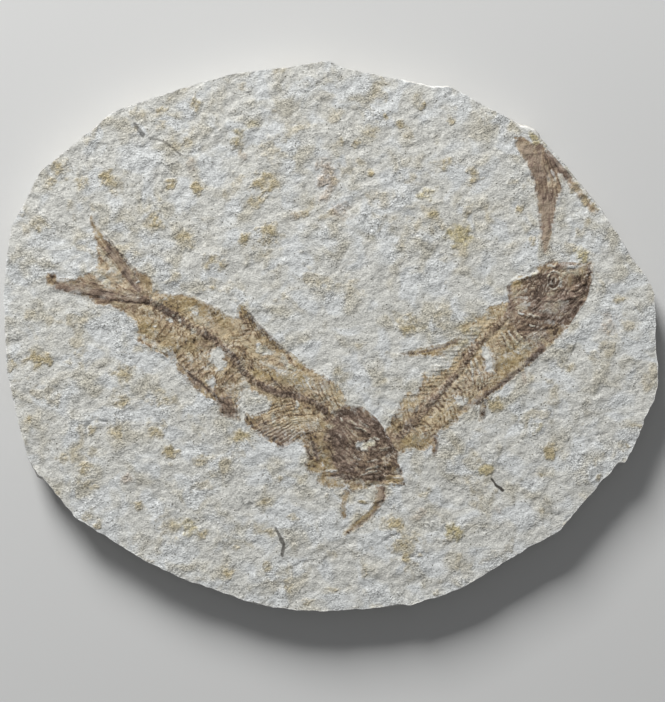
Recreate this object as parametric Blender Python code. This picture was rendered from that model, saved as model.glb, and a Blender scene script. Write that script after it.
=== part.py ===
"""Fossil fish slab: a split limestone slab with two whole fossil herrings and the tail of a third.

The slab lies on its flat back with the fossil face up. X runs along its width, Y along its height
and Z up out of the fossil face. The origin is at the middle of the slab's underside.
"""

import math
import random

import bmesh
import bpy
from mathutils import Vector

# Driving dimensions, in metres
SLAB_WIDTH = 0.1800
SLAB_THICKNESS = 0.0090
GAP = 0.0003  # clearance between a fossil and the limestone or fossil next to it
FILM_THICKNESS = 0.0008  # a fossil's sheet of bone and scales
FILM_PROUD = 0.0001  # how far the sheet stands above the slab's mean face
TAIL_SHEET = 0.0005  # the part of the right fish that lies under the left fish's head

# The outlines below are in units of 1/180 of the slab's width, which is 1 mm at this size
UNIT = SLAB_WIDTH / 180.0

# Slab
FACE_GRID = 4.9 * UNIT  # spacing of the lumpy face's grid
LUMP_HEIGHT = 0.00090  # from the deepest dip to the highest lump, at most
LUMP_SCALE = 0.0060
RIM_HEIGHT = (0.35, 0.75)  # where the rim is widest, as shares of the thickness
RIM_FACE_INSET = (0.1, 0.5)  # how far the face's edge lies inside the rim, in units
RIM_BACK_INSET = (0.5, 2.4)  # the same for the back's edge
CHIP_INSET = 1.1  # the same along the freshly chipped edge
CHIP_SHARE = (0.6, 1.0)  # how much of that inset each point of the chipped edge has
RIM_JITTER = 0.2  # sideways roughness of the rim between its corners, in units
BLOCK_SHARE = 1.05  # the rough block's side, as a share of the slab's width
FLAT_ANGLE = 0.01  # faces this close to level, in radians, become one
SEED = 11

# Bones, in units
RIB_RADIUS = 0.32
RAY_RADIUS = 0.26
SPINE_RADIUS = 0.65
SPINE_WAIST = 0.6  # the width between two vertebrae, as a share of the widest
BONE_MIDDLE = 0.9  # a bone's width at its middle, as a share of the width at its root
BONE_TIP = 0.5  # the same at its tip
LEFT_PLATE_RADIUS = 0.5  # the edges of the head's flat bones
RIGHT_PLATE_RADIUS = 0.45
EYE_RING_RADIUS = 0.35
CURVE_STEPS = 4  # points on each span of a smooth line
MITRE_LIMIT = 0.6  # keeps a sharp corner from running far out when an outline grows
MOUND_SEGMENTS = 14
MOUND_RINGS = 4

# Heights, in metres
BONE_LIFT = 0.00006  # how far a bone's middle lies above the film's top
SKULL_RISE = 0.0005  # from the middle of a skull's dome to its top
SKULL_SINK = 0.0001  # how far that middle lies below the film's top
PLATE_LIFT = 0.0002  # how far the middle of a head bone's edge lies above the film's top
EYE_RING_LIFT = 0.0003
ORBIT_DEPTH = 0.0006
ORBIT_LIFT = 0.0003
HEADROOM = 0.003  # more than anything on the face stands up
WELD = 1e-6

FACE_Z = SLAB_THICKNESS
FILM_TOP = FACE_Z + FILM_PROUD
BONE_Z = FILM_TOP + BONE_LIFT
FILM_BOTTOM = FILM_TOP - FILM_THICKNESS
TAIL_SHEET_TOP = FILM_BOTTOM - GAP
TAIL_SHEET_BOTTOM = TAIL_SHEET_TOP - TAIL_SHEET
TAIL_SHEET_RISE = 0.00005  # keeps the hidden tail's underside off the plane of the fish's underside
ABOVE = FACE_Z + HEADROOM
TRIM_MARGIN = 0.0001  # how far a bone may stand out past the edge of its film

SLAB_OUTLINE = [
    (-2.5, 75.7), (3.0, 74.2), (13.0, 72.1), (28.0, 69.1), (32.2, 69.2), (37.0, 66.3), (52.5, 58.4),
    (56.8, 57.1), (58.0, 54.7), (65.7, 46.0), (74.5, 35.5), (77.5, 30.5), (84.3, 20.0), (88.0, 14.5),
    (89.3, 8.0), (89.5, -5.0), (90.0, -8.0), (90.0, -13.5), (88.8, -18.0), (86.2, -23.0), (84.5, -28.0),
    (81.0, -35.0), (79.5, -35.2), (75.0, -39.6), (67.0, -48.8), (63.0, -53.8), (60.0, -55.4),
    (50.0, -60.8), (38.0, -68.3), (31.0, -71.3), (22.0, -74.2), (10.0, -75.0), (-1.5, -75.7),
    (-10.0, -75.3), (-20.0, -74.2), (-30.0, -70.4), (-40.0, -67.1), (-50.0, -62.3), (-60.0, -56.3),
    (-70.0, -50.0), (-77.5, -41.0), (-80.8, -38.8), (-83.3, -33.5), (-86.7, -20.0), (-89.0, -10.0),
    (-89.4, 0.0), (-90.0, 10.5), (-89.0, 22.0), (-87.6, 30.0), (-82.5, 40.0), (-79.8, 45.3),
    (-73.5, 50.0), (-67.5, 55.0), (-62.0, 60.0), (-55.0, 63.5), (-35.0, 70.0), (-25.5, 72.4),
    (-15.0, 73.6), (-6.5, 74.8),
]
CHIPPED_FROM = (28.0, 69.1)  # the fresh chipping runs clockwise from this corner
CHIPPED_TO = (77.5, 30.5)

LEFT_FISH = [
    # upper tail lobe, then the back and the dorsal fin
    (-66.6, 17.2), (-64.0, 18.6), (-63.4, 21.0), (-64.4, 26.0), (-65.6, 31.5), (-65.2, 33.0),
    (-64.2, 30.4), (-61.0, 26.6), (-58.6, 24.4), (-55.2, 20.0), (-53.2, 18.2), (-50.8, 17.2),
    (-48.8, 15.0), (-48.2, 12.6), (-44.6, 11.5), (-43.0, 11.0), (-40.8, 11.7), (-38.0, 11.2),
    (-35.2, 9.3), (-30.4, 7.4), (-28.6, 5.5), (-25.4, 5.0), (-25.2, 7.6), (-24.2, 8.9),
    (-22.6, 7.5), (-20.6, 4.2), (-17.2, 1.1), (-12.8, -3.4), (-9.4, -6.0), (-6.4, -8.6),
    (-3.2, -9.8), (1.0, -12.5), (3.2, -14.2), (4.6, -18.8),
    # head and jaws
    (8.8, -19.7), (12.2, -22.6), (16.2, -27.9), (18.2, -31.6), (17.8, -34.4), (19.2, -36.6),
    (20.2, -39.6), (19.9, -40.9), (15.2, -40.8), (12.4, -41.2), (8.4, -42.2), (6.0, -42.6),
    (4.4, -40.9), (2.4, -41.6), (-2.5, -41.3), (-3.7, -39.4), (-3.2, -37.6), (-5.4, -37.4),
    (-7.1, -35.6), (-6.3, -33.1), (-7.2, -30.4), (-8.6, -28.8), (-11.2, -29.2),
    # belly, the pale bay behind the ribs, and the anal fin
    (-13.2, -30.7), (-16.6, -29.0), (-20.4, -26.5), (-23.6, -24.4), (-23.0, -21.2), (-20.8, -21.7),
    (-16.8, -20.0), (-16.5, -18.4), (-20.0, -15.4), (-24.0, -14.8), (-25.2, -18.4), (-24.9, -22.9),
    (-30.8, -21.4), (-30.2, -19.0), (-33.4, -17.2), (-37.4, -14.3), (-39.4, -11.8), (-41.8, -9.6),
    (-42.4, -7.2), (-47.0, -4.7), (-52.8, -1.8), (-52.8, 1.6), (-54.8, 5.2), (-57.6, 7.0),
    (-60.4, 8.1), (-63.8, 8.3), (-65.4, 10.2), (-70.0, 11.5), (-75.2, 12.6), (-77.6, 14.2),
    (-77.2, 17.1), (-75.2, 17.2), (-74.6, 15.6), (-70.0, 15.5),
]
LEFT_FISH_GAPS = [  # where the film is lost and the limestone shows through
    [(-32.8, -4.6), (-31.2, -3.0), (-29.6, -3.6), (-29.4, -6.4), (-28.6, -8.2), (-30.2, -9.0),
     (-32.4, -6.8)],
    [(-33.8, -12.2), (-32.6, -11.5), (-31.4, -12.6), (-32.4, -13.8)],
    [(-20.0, -2.4), (-17.4, -3.2), (-15.8, -4.8), (-18.6, -4.9), (-19.9, -4.0)],
]
LEFT_SPINE = [
    (-52.4, 10.9), (-47.0, 8.4), (-42.5, 5.4), (-36.5, 1.7), (-31.2, -1.4), (-26.7, -5.6), (-24.0, -9.7),
    (-20.0, -13.0), (-14.5, -15.4), (-8.4, -16.6), (-4.4, -18.2), (-1.6, -20.4),
]
LEFT_VERTEBRAE = 21
LEFT_SKULL = [(5.6, -29.6, 12.0, 8.6, -35.0), (10.4, -36.4, 9.4, 4.4, 8.0)]  # x, y, half sizes, turn
LEFT_OPERCLE = [(2.8, -23.2), (-0.6, -26.0), (-1.8, -29.6), (-0.6, -33.6), (2.4, -37.0), (7.0, -38.4)]
LEFT_JAWS = [
    [(14.6, -35.4), (17.2, -35.2), (19.0, -36.6)],
    [(13.6, -38.2), (16.6, -38.0), (19.8, -38.6)],
    [(14.0, -40.4), (17.0, -40.3), (19.7, -40.5)],
    [(5.8, -37.6), (9.8, -35.8), (14.2, -33.6)],
    [(6.6, -32.6), (11.6, -32.0), (16.6, -31.4)],
    [(3.6, -21.6), (9.2, -22.4), (14.4, -28.2)],
]
LEFT_EYE = (9.7, -29.7, 2.5, 1.2, 8.0)  # the empty orbit: x, y, half sizes, turn

RIGHT_FISH = [
    # snout, jaw and belly
    (70.8, 21.0), (71.9, 20.0), (71.2, 15.6), (69.7, 10.2), (66.4, 5.4), (62.8, -0.4), (58.0, -4.7),
    (53.4, -8.9), (47.8, -13.5), (43.8, -15.9), (42.7, -20.0), (41.2, -23.6), (40.4, -22.8),
    (40.9, -18.8), (38.4, -20.2), (36.4, -20.8), (33.6, -24.4), (32.0, -25.5), (29.5, -26.4),
    (29.6, -29.0), (28.6, -33.0), (27.6, -31.8), (28.0, -29.4), (25.4, -31.4), (22.0, -31.0),
    (18.6, -32.4), (15.0, -30.0), (14.6, -26.0),
    # back, dorsal fin and the top of the head
    (16.4, -22.6), (18.8, -19.2), (18.9, -17.0), (21.0, -15.4), (24.2, -15.4), (24.8, -11.8), (25.2, -9.3),
    (28.4, -8.2), (32.0, -8.6), (30.0, -5.8), (24.0, -5.6), (18.9, -5.0), (22.0, -4.2), (26.0, -3.1),
    (31.6, -2.3), (35.4, -0.2), (36.0, 3.0), (39.6, 4.7), (43.8, 8.3), (48.5, 9.6), (48.4, 13.4),
    (49.9, 15.1), (54.2, 17.8), (57.6, 19.6), (61.6, 21.2), (62.6, 19.9), (66.8, 19.8), (69.0, 19.4),
]
RIGHT_FISH_GAPS = [
    [(41.4, -4.2), (42.3, -2.2), (43.4, -4.0), (44.5, -7.0), (44.3, -9.8), (42.8, -9.4), (42.2, -6.8)],
    [(34.4, -17.0), (36.2, -17.0), (37.2, -18.6), (36.0, -19.0), (34.6, -18.3)],
]
RIGHT_SPINE = [
    (49.2, 6.6), (45.6, 2.6), (41.5, -1.2), (37.6, -5.8), (34.4, -10.4), (30.6, -14.8), (26.2, -19.4),
    (22.6, -24.2), (18.6, -27.6),
]
RIGHT_VERTEBRAE = 17
RIGHT_SKULL = [(60.4, 11.0, 12.0, 7.4, 42.0)]
RIGHT_OPERCLE = [(50.4, 13.6), (50.2, 9.8), (51.2, 7.0), (54.6, 5.2), (59.0, 4.8), (64.4, 4.6)]
RIGHT_JAWS = [
    [(51.8, 15.6), (56.0, 16.4), (61.0, 18.8), (66.0, 19.0)],
    [(63.6, 12.4), (66.8, 13.6), (70.4, 17.2)],
    [(57.0, 10.4), (61.6, 9.6), (66.6, 10.8), (69.0, 10.4)],
    [(53.8, 2.9), (57.0, 1.8), (61.0, 2.4), (65.4, 4.8)],
]
RIGHT_EYE = (61.0, 15.2)
RIGHT_EYE_RADII = (2.0, 0.95)  # the bony ring and the lens inside it
EYE_RING_SIDES = 11

# The right fish's tail under the left fish's head, and the two lobes that come out below it
TAIL_UNDER_HEAD = [
    (16.6, -23.8), (10.6, -31.0), (6.2, -37.4), (3.6, -41.6), (5.6, -42.6), (9.4, -39.8), (12.2, -41.0),
    (12.6, -43.4), (15.0, -43.6), (15.6, -41.0), (17.4, -35.6), (20.6, -29.8),
]
TAIL_LOBES = [
    [(3.6, -41.6), (2.4, -46.0), (3.2, -49.8), (4.3, -49.4), (3.9, -46.6), (4.6, -44.4), (5.6, -42.6)],
    [(12.6, -43.4), (12.2, -45.2), (10.2, -48.6), (7.6, -51.0), (3.6, -53.4), (4.2, -54.4), (8.4, -52.2),
     (11.4, -49.2), (13.6, -46.0), (15.0, -43.6)],
]
TAIL_RAYS = [
    [(14.0, -44.2), (12.4, -46.6), (10.6, -49.2), (8.0, -51.6), (4.6, -53.6)],
    [(4.6, -43.4), (3.5, -46.0), (3.7, -49.0)],
]

THIRD_TAIL = [
    (50.4, 54.1), (51.4, 54.7), (53.8, 54.0), (55.2, 51.8), (57.0, 51.4), (58.6, 50.9), (60.2, 48.9),
    (64.8, 43.5), (68.0, 39.6), (71.9, 35.0), (72.9, 33.2), (70.9, 34.4), (66.6, 38.2), (63.9, 41.9),
    (63.3, 40.4), (62.2, 40.0), (61.4, 36.4), (62.0, 34.4), (60.2, 30.6), (60.8, 27.6), (60.3, 24.4),
    (58.8, 22.6), (57.8, 25.4), (57.3, 31.0), (56.4, 36.0), (55.8, 42.4), (54.4, 43.8), (53.6, 47.0),
    (51.8, 50.0),
]
THIRD_TAIL_RAYS = [
    [(55.0, 50.6), (55.6, 46.0), (57.0, 40.0), (58.2, 31.0), (58.8, 24.6)],
    [(57.0, 50.4), (57.4, 45.0), (58.6, 39.0), (59.4, 32.0)],
    [(58.0, 49.6), (59.6, 45.6), (60.9, 41.0)],
    [(58.3, 49.8), (60.8, 46.0), (62.6, 41.4)],
    [(58.6, 50.0), (62.0, 45.6), (64.8, 41.4), (67.2, 38.6)],
    [(58.9, 50.2), (63.0, 44.9), (67.0, 39.9), (71.2, 35.2)],
]

# Ribs, neural and haemal spines and fin rays: each fan runs from one line of roots to one of tips
# (root line, tip line, number, sideways bend of each bone)
LEFT_FANS = [
    ([(-12.0, -17.6), (-2.6, -21.0)], [(-20.4, -21.0), (-18.6, -26.8)], 3, -1.0),
    ([(-2.8, -21.8), (-1.8, -25.0)], [(-18.2, -27.6), (-12.6, -29.6)], 3, -1.2),
    ([(-12.0, -15.8), (3.4, -19.4)], [(-17.0, -10.6), (0.8, -13.6)], 5, 0.0),
    ([(-49.0, 10.2), (-27.0, -4.6)], [(-49.4, 12.2), (-31.4, 4.6)], 5, 0.0),
    ([(-47.0, 7.4), (-26.0, -8.0)], [(-51.0, 0.6), (-34.0, -14.0)], 5, 0.0),
    ([(-23.4, 4.0), (-14.4, -4.2)], [(-24.0, 7.6), (-19.4, 1.6)], 3, 0.0),
    ([(-29.6, -18.4), (-26.0, -17.8)], [(-30.2, -21.0), (-25.6, -22.2)], 3, 0.0),
    ([(-54.4, 14.6), (-54.8, 17.4)], [(-63.0, 23.0), (-63.4, 28.6)], 3, 0.0),
    ([(-55.0, 11.0), (-56.4, 9.4)], [(-71.0, 14.6), (-70.6, 12.4)], 3, 0.0),
]
RIGHT_FANS = [
    ([(47.6, 0.8), (38.4, -7.2)], [(51.8, -6.4), (41.6, -13.0)], 4, 0.9),
    ([(36.6, -9.4), (27.6, -20.0)], [(39.0, -15.6), (30.8, -24.6)], 4, 0.6),
    ([(46.0, 4.6), (27.4, -15.6)], [(42.0, 5.6), (21.6, -16.6)], 6, 0.0),
    ([(33.6, -2.4), (31.0, -4.6)], [(21.0, -4.7), (24.6, -5.2)], 2, 0.0),
    ([(42.2, -17.0), (41.8, -17.4)], [(41.4, -22.2), (41.0, -22.0)], 1, 0.0),
    ([(28.8, -27.2), (27.8, -27.8)], [(28.4, -31.8), (27.8, -31.6)], 1, 0.0),
]

LIMESTONE = (0.62, 0.61, 0.56)
BROWN_BONE = (0.15, 0.085, 0.042)
TAN_BONE = (0.20, 0.125, 0.060)
PALE_BROWN_BONE = (0.22, 0.145, 0.085)


def clear_scene():
    """Start from an empty scene."""
    for thing in list(bpy.data.objects):
        bpy.data.objects.remove(thing, do_unlink=True)


def make_collection(name):
    """A new collection linked to the scene."""
    made = bpy.data.collections.new(name)
    bpy.context.scene.collection.children.link(made)
    return made


def make_material(name, colour, roughness):
    """A plain Principled material."""
    material = bpy.data.materials.new(name)
    material.use_nodes = True
    shader = material.node_tree.nodes["Principled BSDF"]
    shader.inputs["Base Color"].default_value = (*colour, 1.0)
    shader.inputs["Roughness"].default_value = roughness
    shader.inputs["Metallic"].default_value = 0.0
    return material


def make_object(name, mesh, collection):
    """An object for a mesh, kept out of the render when it is a tool for cutting or fusing."""
    made = bpy.data.objects.new(name, mesh)
    collection.objects.link(made)
    if collection.name == "tools":
        made.hide_render = True
        made.display_type = "WIRE"
    return made


def mesh_from_curve(curve, height):
    """The closed mesh of a curve, welded, with its plane at the given height."""
    holder = bpy.data.objects.new(curve.name, curve)
    bpy.context.scene.collection.objects.link(holder)
    graph = bpy.context.evaluated_depsgraph_get()
    mesh = bpy.data.meshes.new_from_object(holder.evaluated_get(graph))
    bpy.data.objects.remove(holder, do_unlink=True)
    shape = bmesh.new()
    shape.from_mesh(mesh)
    bmesh.ops.remove_doubles(shape, verts=shape.verts, dist=WELD)
    bmesh.ops.translate(shape, verts=shape.verts, vec=(0, 0, height))
    bmesh.ops.recalc_face_normals(shape, faces=shape.faces)
    shape.to_mesh(mesh)
    shape.free()
    return mesh


def outline_solid(name, outlines, bottom, top, collection):
    """Fill closed outlines from one height to another; an outline inside another is a hole."""
    curve = bpy.data.curves.new(name, "CURVE")
    curve.dimensions = "2D"
    curve.fill_mode = "BOTH"
    curve.extrude = (top - bottom) / 2
    for outline in outlines:
        spline = curve.splines.new("POLY")
        spline.points.add(len(outline) - 1)
        for point, (x, y) in zip(spline.points, outline):
            point.co = (x * UNIT, y * UNIT, 0, 1)
        spline.use_cyclic_u = True
    return make_object(name, mesh_from_curve(curve, (bottom + top) / 2), collection)


def tubes(name, paths, radius, height, collection, closed=False):
    """Round bars along paths at one height, with a thickness share for each point where given."""
    curve = bpy.data.curves.new(name, "CURVE")
    curve.dimensions = "3D"
    curve.fill_mode = "FULL"
    curve.bevel_depth = radius * UNIT
    curve.bevel_resolution = 0
    curve.use_fill_caps = True
    for path in paths:
        spline = curve.splines.new("POLY")
        spline.points.add(len(path) - 1)
        for point, (x, y, *share) in zip(spline.points, path):
            point.co = (x * UNIT, y * UNIT, 0, 1)
            point.radius = share[0] if share else 1.0
        spline.use_cyclic_u = closed
    return make_object(name, mesh_from_curve(curve, height), collection)


def mounds(name, ovals, rise, height, collection):
    """Low oval domes at one height: x, y, half length, half width and turn in degrees."""
    shape = bmesh.new()
    for x, y, half_length, half_width, turn in ovals:
        made = bmesh.ops.create_uvsphere(
            shape, u_segments=MOUND_SEGMENTS, v_segments=MOUND_RINGS, radius=1.0
        )
        turned = math.radians(turn)
        for vert in made["verts"]:
            along = vert.co.x * half_length
            across = vert.co.y * half_width
            vert.co.x, vert.co.y = (
                (x + along * math.cos(turned) - across * math.sin(turned)) * UNIT,
                (y + along * math.sin(turned) + across * math.cos(turned)) * UNIT,
            )
            vert.co.z = height + vert.co.z * rise
    mesh = bpy.data.meshes.new(name)
    shape.to_mesh(mesh)
    shape.free()
    return make_object(name, mesh, collection)


def grown(outline, distance):
    """The outline moved out by a distance in metres, or in where it is negative."""
    count = len(outline)
    points = [Vector(p) for p in outline]
    area = sum(points[i - 1].cross(points[i]) for i in range(count))
    side = 1.0 if area > 0 else -1.0
    moved = []
    for i, here in enumerate(points):
        before = (here - points[i - 1]).normalized()
        after = (points[(i + 1) % count] - here).normalized()
        out = Vector((before.y + after.y, -before.x - after.x)) * side
        out.normalize()
        spread = max(abs(out.dot(Vector((after.y, -after.x)))), MITRE_LIMIT)
        moved.append(tuple(here + out * distance / UNIT / spread))
    return moved


def smooth(points, per_span):
    """Points along a smooth curve through the given ones."""
    given = [Vector(p) for p in points]
    ends = [2 * given[0] - given[1], *given, 2 * given[-1] - given[-2]]
    made = []
    for i in range(len(given) - 1):
        a, b, c, d = ends[i : i + 4]
        for step in range(per_span):
            t = step / per_span
            at = b + 0.5 * t * (c - a + t * (2 * a - 5 * b + 4 * c - d + t * (3 * (b - c) + d - a)))
            made.append(tuple(at))
    made.append(tuple(given[-1]))
    return made


def along(points, share):
    """The point at a share of the length of a line of points."""
    given = [Vector(p) for p in points]
    left = share * sum((b - a).length for a, b in zip(given, given[1:]))
    for a, b in zip(given, given[1:]):
        step = (b - a).length
        if left <= step:
            return a + (b - a) * left / step
        left -= step
    return given[-1]


def vertebrae(spine, count):
    """A beaded path: thick at each vertebra and thin between two."""
    line = smooth(spine, CURVE_STEPS)
    path = []
    for i in range(2 * count + 1):
        at = along(line, i / (2 * count))
        path.append((at.x, at.y, 1.0 if i % 2 else SPINE_WAIST))
    return path


def fan_paths(fans):
    """One bent path for each bone of each fan."""
    paths = []
    for roots, tips, count, bend in fans:
        for i in range(count):
            share = i / max(count - 1, 1)
            root = along(roots, share)
            tip = along(tips, share)
            path = [(*root, 1.0), (*tip, BONE_TIP)]
            if bend:
                side = Vector((root.y - tip.y, tip.x - root.x)).normalized()
                path.insert(1, (*((root + tip) / 2 + side * bend), BONE_MIDDLE))
            paths.append(path)
    return paths


def column(name, films, gaps, margin, bottom, collection):
    """An upright column over the films, a margin wider all round, that leaves out their gaps."""
    outlines = [grown(film, margin) for film in films] + [grown(gap, -margin) for gap in gaps]
    return outline_solid(name, outlines, bottom - margin, ABOVE, collection)


def combine(base, tool, operation, solver="EXACT"):
    """Join a tool to an object, cut it away or keep only what lies inside it."""
    step = base.modifiers.new(f"{operation.title()} {tool.name}", "BOOLEAN")
    step.operation = operation
    step.object = tool
    step.solver = solver
    if solver == "EXACT":
        step.use_self = operation == "UNION"


def edge_points():
    """The rim's points, clockwise: each corner, and one roughened point between it and the next."""
    draw = random.Random(SEED)
    points = []
    for i, corner in enumerate(SLAB_OUTLINE):
        here = Vector(corner)
        there = Vector(SLAB_OUTLINE[(i + 1) % len(SLAB_OUTLINE)])
        side = Vector((there.y - here.y, here.x - there.x)).normalized()
        rough = draw.uniform(-RIM_JITTER, RIM_JITTER)
        points += [here, (here + there) / 2 + side * rough]
    return points


def rim_solid(collection):
    """The slab's chipped sides: a loft from the back's edge out to the rim and in to the face's edge."""
    draw = random.Random(SEED + 1)
    rim = edge_points()
    count = len(rim)
    chip_from = 2 * SLAB_OUTLINE.index(CHIPPED_FROM)
    chip_to = 2 * SLAB_OUTLINE.index(CHIPPED_TO)
    levels = []
    for i, point in enumerate(rim):
        run = rim[(i + 1) % count] - rim[i - 1]
        inward = Vector((run.y, -run.x)).normalized()
        chipped = chip_from <= i <= chip_to
        inset = CHIP_INSET * draw.uniform(*CHIP_SHARE) if chipped else draw.uniform(*RIM_FACE_INSET)
        face = point + inward * inset
        back = point + inward * draw.uniform(*RIM_BACK_INSET)
        height = SLAB_THICKNESS * draw.uniform(*RIM_HEIGHT)
        levels.append(((*back, 0.0), (*point, height), (*face, FACE_Z + LUMP_HEIGHT)))
    shape = bmesh.new()
    rings = [
        [shape.verts.new((x * UNIT, y * UNIT, z)) for x, y, z in (level[k] for level in levels)]
        for k in range(3)
    ]
    for low, high in zip(rings, rings[1:]):
        for i in range(count):
            j = (i + 1) % count
            shape.faces.new((low[i], low[j], high[j], high[i]))
    shape.faces.new(rings[0])
    shape.faces.new(rings[-1])
    bmesh.ops.recalc_face_normals(shape, faces=shape.faces)
    mesh = bpy.data.meshes.new("rim")
    shape.to_mesh(mesh)
    shape.free()
    return make_object("rim", mesh, collection)


def lumpy_block(collection):
    """A block wider than the slab, with the lumpy split face on top."""
    columns = round(SLAB_WIDTH * BLOCK_SHARE / FACE_GRID)
    bpy.ops.mesh.primitive_grid_add(x_subdivisions=columns, y_subdivisions=columns, size=columns * FACE_GRID)
    grid = bpy.context.object
    shape = bmesh.new()
    shape.from_mesh(grid.data)
    bpy.data.objects.remove(grid, do_unlink=True)
    group = shape.verts.layers.deform.verify()
    for vert in shape.verts:
        vert[group][0] = 1.0
        vert.co.z = FACE_Z
    skirt = bmesh.ops.extrude_face_region(shape, geom=shape.faces[:])
    moved = [item for item in skirt["geom"] if isinstance(item, bmesh.types.BMVert)]
    for vert in moved:
        vert[group][0] = 0.0
        vert.co.z = -SLAB_THICKNESS
    bmesh.ops.dissolve_limit(
        shape, angle_limit=FLAT_ANGLE, verts=moved, edges=list({e for v in moved for e in v.link_edges})
    )
    bmesh.ops.recalc_face_normals(shape, faces=shape.faces)
    mesh = bpy.data.meshes.new("slab")
    shape.to_mesh(mesh)
    shape.free()
    slab = make_object("slab", mesh, collection)
    face = slab.vertex_groups.new(name="face")
    lumps = bpy.data.textures.new("lumps", "CLOUDS")
    lumps.noise_scale = LUMP_SCALE
    lumps.noise_depth = 1
    relief = slab.modifiers.new("Split face", "DISPLACE")
    relief.texture = lumps
    relief.texture_coords = "LOCAL"
    relief.direction = "Z"
    relief.mid_level = 0.5
    relief.strength = LUMP_HEIGHT
    relief.vertex_group = face.name
    return slab


def make_left_fish(pieces, tools):
    """The large fish: film with its gaps, skull, gill cover, jaws, backbone, ribs, spines and rays."""
    fish = outline_solid("left_fish", [LEFT_FISH, *LEFT_FISH_GAPS], FILM_BOTTOM, FILM_TOP, pieces)
    combine(fish, mounds("left_skull", LEFT_SKULL, SKULL_RISE, FILM_TOP - SKULL_SINK, tools), "UNION")
    plates = [LEFT_OPERCLE, *LEFT_JAWS]
    edges = tubes("left_head_bones", plates, LEFT_PLATE_RADIUS, FILM_TOP + PLATE_LIFT, tools)
    combine(fish, edges, "UNION")
    beads = [vertebrae(LEFT_SPINE, LEFT_VERTEBRAE)]
    combine(fish, tubes("left_backbone", beads, SPINE_RADIUS, BONE_Z, tools), "UNION")
    combine(fish, tubes("left_bones", fan_paths(LEFT_FANS), RIB_RADIUS, BONE_Z, tools), "UNION")
    trim = column("left_trim", [LEFT_FISH], LEFT_FISH_GAPS, TRIM_MARGIN, FILM_BOTTOM, tools)
    combine(fish, trim, "INTERSECT")
    orbit = mounds("left_orbit", [LEFT_EYE], ORBIT_DEPTH, FILM_TOP + ORBIT_LIFT, tools)
    combine(fish, orbit, "DIFFERENCE", "MANIFOLD")
    return fish


def make_right_fish(pieces, tools, clearance):
    """The second fish, cut back around the left fish's head, with its tail running under it."""
    outlines = [RIGHT_FISH, *RIGHT_FISH_GAPS, *TAIL_LOBES]
    fish = outline_solid("right_fish", outlines, TAIL_SHEET_BOTTOM, FILM_TOP, pieces)
    combine(fish, mounds("right_skull", RIGHT_SKULL, SKULL_RISE, FILM_TOP - SKULL_SINK, tools), "UNION")
    plates = [RIGHT_OPERCLE, *RIGHT_JAWS]
    edges = tubes("right_head_bones", plates, RIGHT_PLATE_RADIUS, FILM_TOP + PLATE_LIFT, tools)
    combine(fish, edges, "UNION")
    x, y = RIGHT_EYE
    rings = []
    for radius in RIGHT_EYE_RADII:
        turns = [2 * math.pi * i / EYE_RING_SIDES for i in range(EYE_RING_SIDES)]
        rings.append([(x + radius * math.cos(a), y + radius * math.sin(a)) for a in turns])
    eye = tubes("right_eye", rings, EYE_RING_RADIUS, FILM_TOP + EYE_RING_LIFT, tools, closed=True)
    combine(fish, eye, "UNION")
    beads = [vertebrae(RIGHT_SPINE, RIGHT_VERTEBRAE)]
    combine(fish, tubes("right_backbone", beads, SPINE_RADIUS, BONE_Z, tools), "UNION")
    combine(fish, tubes("right_bones", fan_paths(RIGHT_FANS), RAY_RADIUS, BONE_Z, tools), "UNION")
    combine(fish, tubes("tail_rays", TAIL_RAYS, RAY_RADIUS, BONE_Z, tools), "UNION")
    films = [RIGHT_FISH, *TAIL_LOBES]
    trim = column("right_trim", films, RIGHT_FISH_GAPS, TRIM_MARGIN, TAIL_SHEET_BOTTOM, tools)
    combine(fish, trim, "INTERSECT", "MANIFOLD")
    combine(fish, clearance, "DIFFERENCE", "MANIFOLD")
    sheet = (TAIL_SHEET_BOTTOM + TAIL_SHEET_RISE, TAIL_SHEET_TOP)
    under = outline_solid("tail_under_head", [TAIL_UNDER_HEAD], *sheet, tools)
    combine(fish, under, "UNION", "MANIFOLD")
    return fish


def make_third_tail(pieces, tools):
    """The tail fin of the third fish, with its rays."""
    tail = outline_solid("third_fish_tail", [THIRD_TAIL], FILM_BOTTOM, FILM_TOP, pieces)
    combine(tail, tubes("third_rays", THIRD_TAIL_RAYS, RAY_RADIUS, BONE_Z, tools), "UNION")
    trim = column("third_trim", [THIRD_TAIL], [], TRIM_MARGIN, FILM_BOTTOM, tools)
    combine(tail, trim, "INTERSECT")
    return tail


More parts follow.
